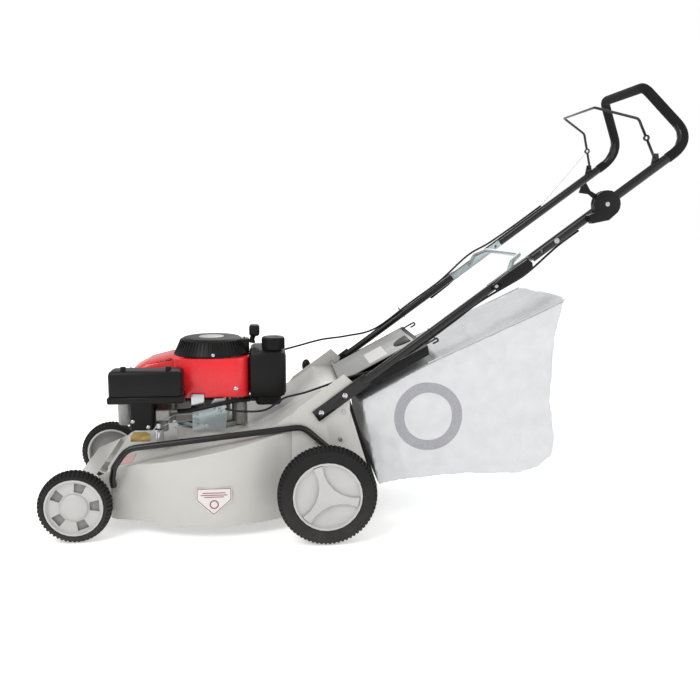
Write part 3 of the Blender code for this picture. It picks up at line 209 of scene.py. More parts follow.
def outline(points):
    """A chain of vertices drawn from point to point, left in edit mode."""
    clear()
    bpy.ops.mesh.primitive_plane_add(size=0.01, location=points[0])
    obj = place(bpy.context.object)
    bpy.ops.object.mode_set(mode="EDIT")
    bpy.ops.mesh.select_mode(type="VERT")
    bpy.ops.mesh.select_all(action="SELECT")
    bpy.ops.mesh.merge(type="CENTER")
    for a, b in zip(points, points[1:]):
        bpy.ops.mesh.extrude_vertices_move(TRANSFORM_OT_translate={"value": Vector(b) - Vector(a)})
    bpy.ops.mesh.select_all(action="SELECT")
    return obj


def turned(profile, foot=(0, 0, 0), axis=(0, 0, 1), steps=48):
    """A profile of (radius, height) spun about an axis that starts at foot."""
    obj = outline([Vector((r, 0, h)) for r, h in profile])
    bpy.ops.mesh.spin(steps=steps, angle=math.tau, center=(0, 0, 0), axis=(0, 0, 1), dupli=False)
    bpy.ops.object.mode_set(mode="OBJECT")
    tidy_normals(obj)
    turn = Vector((0, 0, 1)).rotation_difference(Vector(axis)).to_matrix().to_4x4()
    obj.matrix_world = Matrix.Translation(Vector(foot)) @ turn
    return place(obj)


def plate(points, thick, bevel=0.0):
    """A flat outline given a thickness along thick."""
    obj = outline([Vector(p) for p in points])
    bpy.ops.mesh.edge_face_add()
    bpy.ops.mesh.extrude_region_move(TRANSFORM_OT_translate={"value": Vector(thick)})
    bpy.ops.object.mode_set(mode="OBJECT")
    tidy_normals(obj)
    if bevel:
        modify(obj, "BEVEL", width=bevel, segments=2, limit_method="ANGLE")
    return obj


def tube(points, radius, sides=4, closed=False):
    """A round bar or sheath that follows a line."""
    clear()
    data = bpy.data.curves.new("line", "CURVE")
    data.dimensions = "3D"
    data.bevel_depth, data.bevel_resolution = radius, sides
    data.use_fill_caps = not closed
    line = data.splines.new("POLY")
    line.points.add(len(points) - 1)
    for point, where in zip(line.points, points):
        point.co = (*where, 1)
    line.use_cyclic_u = closed
    obj = bpy.data.objects.new("line", data)
    bpy.context.scene.collection.objects.link(obj)
    take(obj)
    bpy.ops.object.convert(target="MESH")
    return tidy_normals(bpy.context.object)


def coil(start, end, radius, wire, turns):
    """A spring wound between two points."""
    start, end = Vector(start), Vector(end)
    axis = (end - start).normalized()
    side = axis.orthogonal().normalized()
    up = axis.cross(side)
    count = int(turns * 12)
    points = []
    for i in range(count + 1):
        a = math.tau * turns * i / count
        points.append(start + (end - start) * (i / count) + (side * math.cos(a) + up * math.sin(a)) * radius)
    return tube(points, wire, 2)


def merged(objects):
    """Several pieces made one mesh."""
    first = take(objects[0])
    for obj in objects[1:]:
        obj.select_set(True)
    if len(objects) > 1:
        bpy.ops.object.join()
    return bpy.context.object


def settle(obj, name, finish, body, angle=35, stands_for=()):
    """Names a piece, smooths it, gives it its finish and sets it on its body."""
    place(obj)
    obj.name = obj.data.name = name
    bpy.ops.object.shade_smooth_by_angle(angle=math.radians(angle))
    obj.data.materials.clear()
    obj.data.materials.append(finish)
    if body:
        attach(obj, body)
    if stands_for:
        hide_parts(*stands_for)
    return obj


def body_name(node):
    """The body that a CAD node rides on."""
    return NODES[node]["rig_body"]


def refined(node, finish, bevel=0.0007, angle=35, segments=2):
    """A copy of a frame piece with merged faces and softened edges."""
    clear()
    obj = NODES[node].copy()
    obj.data = obj.data.copy()
    for key in list(obj.keys()):
        del obj[key]
    obj.parent = None
    obj.matrix_world = Matrix.Identity(4)
    bpy.context.scene.collection.objects.link(obj)
    take(obj)
    obj.hide_render = False
    bpy.ops.object.mode_set(mode="EDIT")
    bpy.ops.mesh.select_mode(type="VERT")
    bpy.ops.mesh.select_all(action="SELECT")
    bpy.ops.mesh.remove_doubles(threshold=0.00002)
    bpy.ops.mesh.dissolve_limited(angle_limit=math.radians(1.5))
    bpy.ops.object.mode_set(mode="OBJECT")
    if bevel:
        modify(obj, "BEVEL", width=bevel, segments=segments, limit_method="ANGLE",
               angle_limit=math.radians(40), use_clamp_overlap=True)
    return settle(obj, "fine_" + node, finish, body_name(node), angle, (node,))


# ---- finishes ------------------------------------------------------------
DUST_HEIGHT = 0.16
GLOSS_SWING = 0.06


def linear(colour):
    """An sRGB hex colour as linear red, green, blue and alpha."""
    parts = [int(colour[i:i + 2], 16) / 255 for i in (1, 3, 5)]
    return tuple(c / 12.92 if c <= 0.04045 else ((c + 0.055) / 1.055) ** 2.4 for c in parts) + (1.0,)


def put(tree, kind, links=None, **settings):
    """Adds one node with its settings, and its sockets' values or links."""
    node = tree.nodes.new(kind)
    for key, value in settings.items():
        setattr(node, key, value)
    for key, value in (links or {}).items():
        if isinstance(value, bpy.types.NodeSocket):
            tree.links.new(value, node.inputs[key])
        else:
            node.inputs[key].default_value = value
    return node


def per_metre(size_mm):
    """Noise scale that gives features of one real size."""
    return 1000.0 / size_mm


def surface(name, light, dark, mottle_mm, rough, grain_mm, depth_mm, pattern="noise",
            stretch=(1, 1, 1), dust=0.0, dust_colour="#8d8a80", **sockets):
    """A finish of two mottled tones, with a grain that also breaks the gloss."""
    if name in bpy.data.materials:
        return bpy.data.materials[name]
    made = bpy.data.materials.new(name)
    made.use_nodes = True
    tree = made.node_tree
    shader = tree.nodes["Principled BSDF"]
    where = put(tree, "ShaderNodeTexCoord").outputs["Object"]
    spread = put(tree, "ShaderNodeMapping", {"Vector": where, "Scale": stretch}).outputs["Vector"]
    mottle = put(tree, "ShaderNodeTexNoise", {"Vector": where, "Scale": per_metre(mottle_mm), "Detail": 4.0})
    tone = put(tree, "ShaderNodeMix", {"Factor": mottle.outputs["Fac"], 6: linear(light), 7: linear(dark)},
               data_type="RGBA").outputs[2]
    if dust:
        height = put(tree, "ShaderNodeSeparateXYZ", {"Vector": where}).outputs["Z"]
        low = put(tree, "ShaderNodeMapRange", {"Value": height, "From Min": 0.0, "From Max": DUST_HEIGHT,
                                               "To Min": dust, "To Max": 0.0}).outputs["Result"]
        patch = put(tree, "ShaderNodeMath", {0: low, 1: mottle.outputs["Fac"]},
                    operation="MULTIPLY").outputs[0]
        tone = put(tree, "ShaderNodeMix", {"Factor": patch, 6: tone, 7: linear(dust_colour)},
                   data_type="RGBA").outputs[2]
    tree.links.new(tone, shader.inputs["Base Color"])
    if pattern == "noise":
        fine = {"Vector": spread, "Scale": per_metre(grain_mm), "Detail": 3.0}
        grain = put(tree, "ShaderNodeTexNoise", fine).outputs["Fac"]
    elif pattern == "cells":
        grain = put(tree, "ShaderNodeTexVoronoi", {"Vector": spread, "Scale": per_metre(grain_mm)},
                    feature="F1").outputs["Distance"]
    else:
        threads = {"Vector": spread, "Scale": per_metre(grain_mm) / math.tau, "Distortion": 0.3}
        across = put(tree, "ShaderNodeTexWave", threads, bands_direction="X")
        down = put(tree, "ShaderNodeTexWave", threads, bands_direction="Z")
        grain = put(tree, "ShaderNodeMath", {0: across.outputs["Fac"], 1: down.outputs["Fac"]},
                    operation="MAXIMUM").outputs[0]
    swing = {"Value": grain, "To Min": rough - GLOSS_SWING, "To Max": rough + GLOSS_SWING}
    gloss = put(tree, "ShaderNodeMapRange", swing)
    tree.links.new(gloss.outputs["Result"], shader.inputs["Roughness"])
    bump = put(tree, "ShaderNodeBump", {"Height": grain, "Strength": 0.6, "Distance": depth_mm / 1000})
    tree.links.new(bump.outputs["Normal"], shader.inputs["Normal"])
    for key, value in sockets.items():
        shader.inputs[key.replace("_", " ")].default_value = value
    return made


def deck_enamel():
    # powder-coated steel sheet: an even pale grey with faint orange peel and dust low down
    return surface("powder-coated steel, light grey", mower_colour("deck"), "#b7b6b1", 90, 0.38, 1.6, 0.05,
                   dust=0.25, Coat_Weight=0.25, Coat_Roughness=0.25)


def red_abs():
    # injection-moulded ABS: deep gloss with a very slight flow waviness
    return surface("moulded ABS, red", mower_colour("shroud"), "#d81f27", 70, 0.26, 9.0, 0.015,
                   Specular_IOR_Level=0.35, Coat_Weight=0.25, Coat_Roughness=0.12)


def black_pp():
    # moulded polypropylene: satin black with a fine spark-eroded grain
    return surface("moulded polypropylene, black", "#121111", "#0c0b0b", 40, 0.44, 0.9, 0.10,
                   Specular_IOR_Level=0.22)


def black_enamel():
    # enamelled steel tube: smooth black with small runs in the gloss
    return surface("enamelled steel, black", "#151414", "#0f0e0e", 60, 0.30, 3.0, 0.03,
                   Specular_IOR_Level=0.35, Coat_Weight=0.12, Coat_Roughness=0.2)


def tyre_rubber():
    # vulcanised rubber: matt black-grey, dusted pale near the ground
    return surface("vulcanised tyre rubber", "#181717", "#0f0f0f", 25, 0.72, 1.1, 0.12, dust=0.16,
                   Specular_IOR_Level=0.30)


def hose_rubber():
    # extruded rubber and vinyl sheath: plain black with a soft sheen
    return surface("extruded rubber, black", "#151414", "#0e0e0e", 20, 0.48, 0.8, 0.05,
                   Specular_IOR_Level=0.30)


def foam():
    # closed-cell foam sleeve: dull black with fine open pores
    return surface("closed-cell foam, black", "#1a1919", "#0f0f0f", 15, 0.88, 1.6, 0.40, pattern="cells",
                   Specular_IOR_Level=0.25)


def grey_pp():
    # moulded polypropylene: light grey with a soft satin face
    return surface("moulded polypropylene, light grey", mower_colour("rims"), "#b1b0ae", 45, 0.42, 1.0, 0.08,
                   dust=0.25)


def painted_shade_pp():
    # moulded polypropylene: the inner dish of a wheel, its darker grey than the rim being painted shade of
    # the wheel's recess
    return surface("moulded polypropylene, grey with painted shade", "#8f8d8b", "#7d7b79", 30, 0.46, 1.0, 0.08)


def zinc_plate():
    # zinc-plated pressed steel: cool grey with a faint spangle
    return surface("zinc-plated steel", "#b6bfc1", "#a6afb1", 9, 0.34, 6.0, 0.015, pattern="cells",
                   Metallic=0.9)


def machined_steel():
    # ground steel bar: bright with fine marks along it
    return surface("machined steel", "#b9babb", "#9c9d9e", 12, 0.28, 0.8, 0.03, stretch=(1, 0.15, 1),
                   Metallic=1.0)


def brass_passivate():
    # yellow-passivated steel: dull gold with a cloudy tint
    return surface("yellow-passivated steel", "#b9a168", "#8f7a4a", 6, 0.34, 0.9, 0.03, Metallic=0.95)


def cast_alloy():
    # pressure-cast aluminium: grey with a fine sandy skin
    return surface("cast aluminium", "#a9a9a6", "#8b8b88", 14, 0.48, 0.9, 0.14, Metallic=0.85)


def flap_enamel():
    # enamelled pressed steel: mid grey, a little duller than the deck
    return surface("enamelled steel, mid grey", mower_colour("flap"), "#8b8b88", 60, 0.42, 1.8, 0.05,
                   Coat_Weight=0.15)


def bag_cloth():
    # spun-bonded polyester cloth: off-white, with its point bonds drawn 2.4 mm apart so that they show
    if "non-woven polyester cloth" in bpy.data.materials:
        return bpy.data.materials["non-woven polyester cloth"]
    return bag_print(surface("non-woven polyester cloth", mower_colour("bag"), "#c0c2c5", 38, 0.86, 2.4, 0.30,
                             pattern="weave", Sheen_Weight=0.25, Sheen_Roughness=0.5))


RING_CENTRE = (0.150, 0.0, 0.2615)
RING_RADIUS, RING_HALF = 0.0700, 0.0115


def bag_print(made):
    """A plain grey ring printed on the bag's left side."""
    tree = made.node_tree
    shader = tree.nodes["Principled BSDF"]
    cloth = shader.inputs["Base Color"].links[0].from_socket
    where = put(tree, "ShaderNodeTexCoord").outputs["Object"]
    part = put(tree, "ShaderNodeSeparateXYZ", {"Vector": where})
    flat = put(tree, "ShaderNodeCombineXYZ", {"X": part.outputs["X"], "Z": part.outputs["Z"]})
    reach = put(tree, "ShaderNodeVectorMath", {0: flat.outputs["Vector"], 1: RING_CENTRE},
                operation="DISTANCE").outputs["Value"]
    off = put(tree, "ShaderNodeMath", {0: reach, 1: RING_RADIUS}, operation="SUBTRACT").outputs[0]
    off = put(tree, "ShaderNodeMath", {0: off}, operation="ABSOLUTE").outputs[0]
    band = {"Value": off, "From Min": RING_HALF, "From Max": RING_HALF + 0.0015,
            "To Min": 0.72, "To Max": 0.0}
    ring = put(tree, "ShaderNodeMapRange", band).outputs["Result"]
    side = put(tree, "ShaderNodeMath", {0: part.outputs["Y"], 1: -0.15}, operation="LESS_THAN").outputs[0]
    fade = put(tree, "ShaderNodeTexNoise", {"Vector": where, "Scale": per_metre(3.0), "Detail": 2.0})
    worn = {"Value": fade.outputs["Fac"], "From Min": 0.3, "From Max": 0.6, "To Min": 0.75}
    ink = put(tree, "ShaderNodeMapRange", worn).outputs["Result"]
    mask = put(tree, "ShaderNodeMath", {0: ring, 1: side}, operation="MULTIPLY").outputs[0]
    mask = put(tree, "ShaderNodeMath", {0: mask, 1: ink}, operation="MULTIPLY").outputs[0]
    printed = {"Factor": mask, 6: cloth, 7: linear("#77747d")}
    tone = put(tree, "ShaderNodeMix", printed, data_type="RGBA").outputs[2]
    tree.links.new(tone, shader.inputs["Base Color"])
    return made


def binding_tape():
    # woven polyester tape: white with a close rib
    return surface("woven binding tape", "#c9cacc", "#b3b4b8", 20, 0.84, 1.5, 0.25, pattern="weave")


def glazed_ceramic():
    # glazed alumina insulator: clean white gloss
    return surface("glazed ceramic, white", "#ece9e2", "#dedad1", 12, 0.16, 2.0, 0.01, Coat_Weight=0.6)


def tin_can():
    # drawn tinplate: bright with a soft rolled haze
    return surface("drawn tinplate", "#c8cacb", "#aeb0b2", 10, 0.24, 1.2, 0.03, Metallic=1.0)


def print_pink():
    # screen-printed panel: pale rose ink, flat and slightly glossy
    return surface("screen-printed ink, rose", "#d9a5a4", "#cf9896", 30, 0.34, 1.5, 0.02)


def print_white():
    # vinyl label: white film with a soft gloss
    return surface("vinyl label, white", "#d8d6d4", "#cecccb", 30, 0.34, 1.5, 0.02)


def print_red():
    # screen-printed ink: dull red lines on the label
    return surface("screen-printed ink, dull red", "#9c5557", "#874549", 30, 0.36, 1.5, 0.02)


def print_grey():
    # vinyl label: mid grey film with a soft gloss
    return surface("vinyl label, grey", "#8f9091", "#848586", 30, 0.36, 1.5, 0.02)


# ---- sizes and colours a user may change ---------------------------------
class MowerSizes(bpy.types.PropertyGroup):
    """Sizes of the details that the frame leaves open"""
    tread_pitch: bpy.props.FloatProperty(name="Tread pitch", description="From one tread block to the next",
                                         default=0.0100, min=0.004, max=0.03, unit="LENGTH")
    tread_depth: bpy.props.FloatProperty(name="Tread depth", description="How far a groove is sunk",
                                         default=0.0024, min=0.0, max=0.004, unit="LENGTH")
    recoil_ribs: bpy.props.IntProperty(name="Recoil ribs", description="Ribs round the starter's cover",
                                       default=56, min=8, max=96)
    grip_foam: bpy.props.FloatProperty(name="Foam radius", description="Outer radius of the foam sleeve",
                                       default=0.0118, min=0.011, max=0.016, unit="LENGTH")
    bag_belly: bpy.props.FloatProperty(name="Bag belly", description="How far the cloth swells out",
                                       default=0.011, min=0.0, max=0.03, unit="LENGTH")
    seam_tape: bpy.props.FloatProperty(name="Seam tape", description="Radius of the bound seam along the top",
                                       default=0.0020, min=0.001, max=0.006, unit="LENGTH")


class MowerColours(bpy.types.PropertyGroup):
    """Main colours, as sRGB hex values"""
    deck: bpy.props.StringProperty(name="Deck", description="Enamel of the deck", default="#c0bfbb")
    shroud: bpy.props.StringProperty(name="Shroud", description="Plastic over the engine", default="#ea262e")
    rims: bpy.props.StringProperty(name="Rims", description="Plastic of the wheels", default="#bebebd")
    flap: bpy.props.StringProperty(name="Flap", description="Enamel of the rear flap", default="#979795")
    bag: bpy.props.StringProperty(name="Bag", description="Cloth of the grass bag", default="#d6d6d7")


def mower_colour(key):
    """One of the scene's main colours."""
    return getattr(bpy.context.scene.mower_colours, key)


def sizes():
    """The scene's own sizes."""
    return bpy.context.scene.mower_sizes


# ---- wheels --------------------------------------------------------------
def make_tyre(corner):
    """A tyre turned from its section, with every other step of its shoulders sunk as a groove."""
    low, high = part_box("tyre_" + corner)
    rim_low, rim_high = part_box("rim_" + corner)
    radius, half = (high[0] - low[0]) / 2, (high[1] - low[1]) / 2
    inner = (rim_high[0] - rim_low[0]) / 2 + 0.0002
    centre = [(a + b) / 2 for a, b in zip(low, high)]
    wall = radius - inner
    shape = [(inner, -half + 0.004), (inner + 0.0015, -half + 0.0012), (inner + wall * 0.35, -half),
             (radius - 0.0085, -half + 0.0006), (radius - 0.0048, -half + 0.0022),
             (radius - 0.0016, -half + 0.0062), (radius - 0.0004, -half + 0.0105), (radius, -0.0034),
             (radius - 0.0022, -0.0020)]
    shape = shape + [(r, -h) for r, h in reversed(shape)]
    steps = round(math.tau * radius / sizes().tread_pitch) * 2
    obj = turned(shape + [shape[0]], centre, (0, 1, 0), steps)
    take(obj)
    bpy.ops.object.mode_set(mode="EDIT")
    middle = Vector(centre)

    def groove(point, normal):
        arm = point - middle
        reach = math.hypot(arm.x, arm.z)
        turn = int(round(math.atan2(arm.z, arm.x) / math.tau * steps - 0.5))
        return reach > radius - 0.0075 and abs(arm.y) > 0.0030 and turn % 2 == 0
    pick_faces(obj, groove)
    bpy.ops.mesh.extrude_region_shrink_fatten(TRANSFORM_OT_shrink_fatten={"value": -sizes().tread_depth})
    bpy.ops.object.mode_set(mode="OBJECT")
    settle(obj, "tread_tyre_" + corner, tyre_rubber(), "wheel_" + corner, 28,
           ("tyre_" + corner,))


class MOWER_OT_wheels(bpy.types.Operator):
    """Four tyres with blocked shoulders, their rims and hub caps"""
    bl_idname = "mower.wheels"
    bl_label = "Wheels"

    def execute(self, context):
        for corner in CORNERS:
            make_tyre(corner)
            refined("rim_" + corner, grey_pp(), 0.0008)
            refined("hub_cap_" + corner, grey_pp(), 0.0006, 40)
        for side, sign in (("left", -1), ("right", 1)):
            low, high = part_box("rim_front_" + side)
            centre = ((low[0] + high[0]) / 2, sign * 0.2335, (low[2] + high[2]) / 2)
            # a dish behind each front rim's windows: the wheel's back face, given a darker grey than the rim
            # as painted shade of the recess
            dish = [(0.0130, 0), (0.0130, 0.0015), (0.0300, 0.0040), (0.0600, 0.0040), (0.0615, 0.0030),
                    (0.0615, 0.0015), (0.0300, 0.0020), (0.0130, 0)]
            back = turned(dish, centre, (0, sign, 0), 56)
            settle(back, "wheel_back_front_" + side, painted_shade_pp(), "wheel_front_" + side, 35)
        return {"FINISHED"}


class MOWER_OT_running_gear(bpy.types.Operator):
    """Axles, height lever, link rod, blade, shaft and the rest of the moving steel"""
    bl_idname = "mower.running_gear"
    bl_label = "Running gear"

    def execute(self, context):
        for node in ("front_axle", "rear_axle", "crankshaft", "cutting_blade"):
            refined(node, machined_steel(), 0.0004)
        for node in ("height_link_rod", "blade_bolt"):
            refined(node, zinc_plate(), 0.0004)
        refined("height_lever", black_pp(), 0.0008)
        refined("flywheel", cast_alloy(), 0.0005)
        refined("recoil_pulley", black_pp(), 0.0005)
        return {"FINISHED"}


# ---- deck ----------------------------------------------------------------
def flanged_bolt(where, axis, size=0.0052, height=0.005):
    """A hexagon head on a round flange, its crown chamfered."""
    collar = turned([(0, 0), (size * 1.45, 0), (size * 1.45, 0.0008), (size * 1.1, 0.0016), (0, 0.0016)],
                    where, axis, 24)
    head = turned([(0, 0.0008), (size, 0.0008), (size, height - 0.0008), (size - 0.0009, height),
                   (0, height)], where, axis, 6)
    return [collar, head]


def domed_screw(where, axis, size=0.004):
    """A low domed head with a small raised ring."""
    return turned([(0, 0.0016), (size * 0.28, 0.0016), (size * 0.32, 0.0024), (size * 0.7, 0.0021),
                   (size, 0.0010), (size, 0), (0, 0)], where, axis, 20)


def on_front(x, y):
    """A point on the deck's sloping front panel."""
    return Vector((x, y, 0.1504 + 0.205 * (x + 0.605)))


class MOWER_OT_deck(bpy.types.Operator):
    """Deck, brackets, guard rails, their bolts and the plain printed panels"""
    bl_idname = "mower.deck"
    bl_label = "Deck"

    def execute(self, context):
        refined("deck", deck_enamel(), 0.0006, 40)
        for side, sign in (("left", -1), ("right", 1)):
            refined("handle_bracket_" + side, deck_enamel(), 0.0005)
            refined("side_rail_" + side, black_enamel(), 0, 50)
            heads = []
            out = (0, sign, 0)
            for x, z in ((-0.0589, 0.2144), (-0.1165, 0.2110)):
                heads += flanged_bolt((x, sign * 0.2020, z), out, 0.0046)
            settle(merged(heads), "bracket_bolts_" + side, zinc_plate(), "chassis", 35)
            heads = []
            for x in (-0.105, -0.050):
                heads.append(domed_screw(tuple(on_handle(x, sign * 0.2083)), out, 0.0062))
            settle(merged(heads), "strap_bolts_" + side, tin_can(), "chassis", 35)
            eye = turned([(0.0032, 0), (0.0062, 0), (0.0066, 0.0007), (0.0060, 0.0014), (0.0038, 0.0014),
                          (0.0032, 0.0008), (0.0032, 0)], (-0.0518, sign * 0.2020, 0.279), out, 28)
            settle(eye, "bracket_eyelet_" + side, zinc_plate(), "chassis", 35)
        corners = ((-0.586, -0.168), (-0.548, -0.168), (-0.548, -0.092), (-0.586, -0.092))
        panel = plate([on_front(x, y) for x, y in corners], (0, 0, 0.0003))
        settle(panel, "front_label", print_pink(), "chassis")
        badge = plate([(-0.393, -0.2551, 0.1215), (-0.3123, -0.2551, 0.1215), (-0.3129, -0.2551, 0.0918),
                       (-0.3543, -0.2551, 0.0552), (-0.3938, -0.2551, 0.0921)], (0, -0.0003, 0))
        settle(badge, "side_label", print_white(), "chassis")
        lines = []
        edge = [(-0.3905, 0.1195), (-0.3150, 0.1195), (-0.3154, 0.0930), (-0.3543, 0.0590), (-0.3912, 0.0935)]
        for (ax, az), (bx, bz) in zip(edge, edge[1:] + edge[:1]):
            lines.append(tube([(ax, -0.2554, az), (bx, -0.2554, bz)], 0.0009, 1))
        for z, half in ((0.1085, 0.026), (0.1035, 0.030), (0.0990, 0.022)):
            lines.append(block((-0.353 - half, -0.2556, z), (-0.353 + half, -0.2552, z + 0.0022), 0.0001, 1))
        lines.append(turned([(0.0075, 0), (0.0105, 0), (0.0105, 0.0004), (0.0075, 0.0004), (0.0075, 0)],
                            (-0.353, -0.2552, 0.0825), (0, -1, 0), 32))
        settle(merged(lines), "side_label_print", print_red(), "chassis")
        return {"FINISHED"}


# ---- engine --------------------------------------------------------------
SHROUD_TOP = 0.3937
# half the angle that the ribs leave free for the rope's guide, in radians
GUIDE_GAP = 0.30


def make_recoil():
    """The recoil starter's cover: a turned dome, leaning ribs, the rope's guide and a pale disc."""
    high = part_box("recoil_cover")[1]
    x, z = ENGINE_SEAT.x, SHROUD_TOP
    sunk = 0.0016
    foot, shoulder, tall = 0.0935, 0.0772, 0.0352
    cone = turned([(0.0, 0.0423 - sunk), (0.0335, 0.0423 - sunk), (0.036, 0.0408), (0.066, 0.0408),
                   (0.0700, 0.0398), (0.0752, 0.0350), (shoulder - sunk, 0.0330), (0.0930 - sunk, 0.0030),
                   (foot, 0.0022), (foot, 0.0), (0.0905, 0.0)], (x, 0, z), (0, 0, 1), 96)
    ribs = []
    count = sizes().recoil_ribs
    for i in range(count):
        a = math.tau * (i + 0.5) / count
        if abs(math.atan2(math.sin(a), math.cos(a))) < GUIDE_GAP:
            continue
        rib = block((0.0715, -0.0013, 0.0), (0.0925, 0.0013, tall), 0.0004, 1)
        for vertex in rib.data.vertices:
            lean = foot - (foot - shoulder) * vertex.co.z / tall
            if vertex.co.x > 0.085:
                vertex.co.x += lean - 0.0927
        rib.matrix_world = Matrix.Translation((x, 0, z + 0.0010)) @ Matrix.Rotation(a, 4, "Z")
        ribs.append(place(rib))
    guide = block((x + 0.066, -0.020, z + 0.001), (high[0] - 0.0002, 0.020, high[2] - 0.0130), 0.004)
    mouth = turned([(0.0035, 0), (0.0075, 0), (0.0082, 0.0012), (0.0070, 0.0022), (0.0042, 0.0022),
                    (0.0035, 0)],
                   (high[0] - 0.010, 0, high[2] - 0.0155), (math.cos(0.61), 0, math.sin(0.61)), 24)
    obj = merged([cone] + ribs + [guide, mouth])
    settle(obj, "ribbed_recoil_cover", black_pp(), "chassis", 35, ("recoil_cover",))
    disc = turned([(0, 0.0420), (0.0300, 0.0420), (0.0312, 0.0414), (0.0312, 0.0400), (0, 0.0400)],
                  (x, 0, z), (0, 0, 1), 56)
    settle(disc, "recoil_disc", grey_pp(), "chassis", 35)


def make_grip():
    """The starter's grip, and the stretch of rope between it and the cover."""
    low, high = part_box("starter_grip")
    x, y = (low[0] + high[0]) / 2, (low[1] + high[1]) / 2
    bar = block((low[0] + 0.0010, low[1], low[2] + 0.0215), (high[0], high[1], high[2]), 0.0068, 5)
    neck = tube(eased([(low[0] + 0.0068, y, low[2] + 0.0055), (low[0] + 0.0085, y, low[2] + 0.015),
                       (x + 0.0020, y, low[2] + 0.032)], 6), 0.0064, 5)
    collar = turned([(0, 0), (0.0066, 0), (0.0078, 0.0020), (0.0070, 0.0060), (0.0050, 0.0080), (0, 0.0080)],
                    (low[0] + 0.0075, y, low[2] + 0.0030), (0.2, 0, 1), 28)
    bar = merged([bar, collar])
    settle(merged([bar, neck]), "moulded_starter_grip", black_pp(), "starter_grip", 40,
           ("starter_grip",))
    pull = Vector((math.cos(math.radians(35)), 0, math.sin(math.radians(35))))
    start = Vector((x - 0.0180, 0, low[2] + 0.0065))
    rope = tube([start + pull * (0.0012 * i) for i in range(15)], 0.0018, 3)
    settle(rope, "starter_rope", hose_rubber(), None, 40)
    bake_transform(rope)


class MOWER_OT_engine(bpy.types.Operator):
    """Engine castings, shroud, recoil cover, air cleaner, tank and muffler"""
    bl_idname = "mower.engine"
    bl_label = "Engine"

    def execute(self, context):
        for node in ("crankcase", "cylinder_head", "valve_cover", "carburettor"):
            refined(node, cast_alloy(), 0.0009)
        refined("engine_shroud", red_abs(), 0.0018, 40, 3)
        refined("muffler", machined_steel(), 0.0012)
        refined("spark_plug", glazed_ceramic(), 0.0004)
        refined("control_plate", zinc_plate(), 0.0003)
        for node in ("air_filter_base", "air_filter_cover"):
            refined(node, black_pp(), 0.0012, 40, 3)
        refined("fuel_tank", black_pp(), 0.0060, 40, 5)
        refined("dipstick", black_pp(), 0.0005)
        make_recoil()
        make_grip()
        return {"FINISHED"}


class MOWER_OT_fuel_cap(bpy.types.Operator):
    """Fuel cap with a ribbed edge, and the hose from the tank"""
    bl_idname = "mower.fuel_cap"
    bl_label = "Fuel cap"

    def execute(self, context):
        low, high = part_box("fuel_cap")
        x, y = (low[0] + high[0]) / 2, (low[1] + high[1]) / 2
        out, tall = (high[0] - low[0]) / 2 - 0.0010, high[2] - low[2]
        body = turned([(0.0235, 0), (out, 0), (out, tall - 0.0035), (out - 0.0010, tall - 0.0012),
                       (out - 0.0035, tall), (0.0115, tall), (0.0100, tall - 0.0010), (0, tall - 0.0010)],
                      (x, y, low[2]), (0, 0, 1), 72)
        ribs = []
        for i in range(36):
            rib = block((out - 0.001, -0.0009, 0.001), (out + 0.0010, 0.0009, tall - 0.0045), 0.0004, 1)
            rib.matrix_world = Matrix.Translation((x, y, low[2])) @ Matrix.Rotation(math.tau * i / 36, 4, "Z")
            ribs.append(place(rib))
        settle(merged([body] + ribs), "ribbed_fuel_cap", black_pp(), "fuel_cap", 35,
               ("fuel_cap",))
        refined("fuel_hose", hose_rubber(), 0, 60)
        return {"FINISHED"}


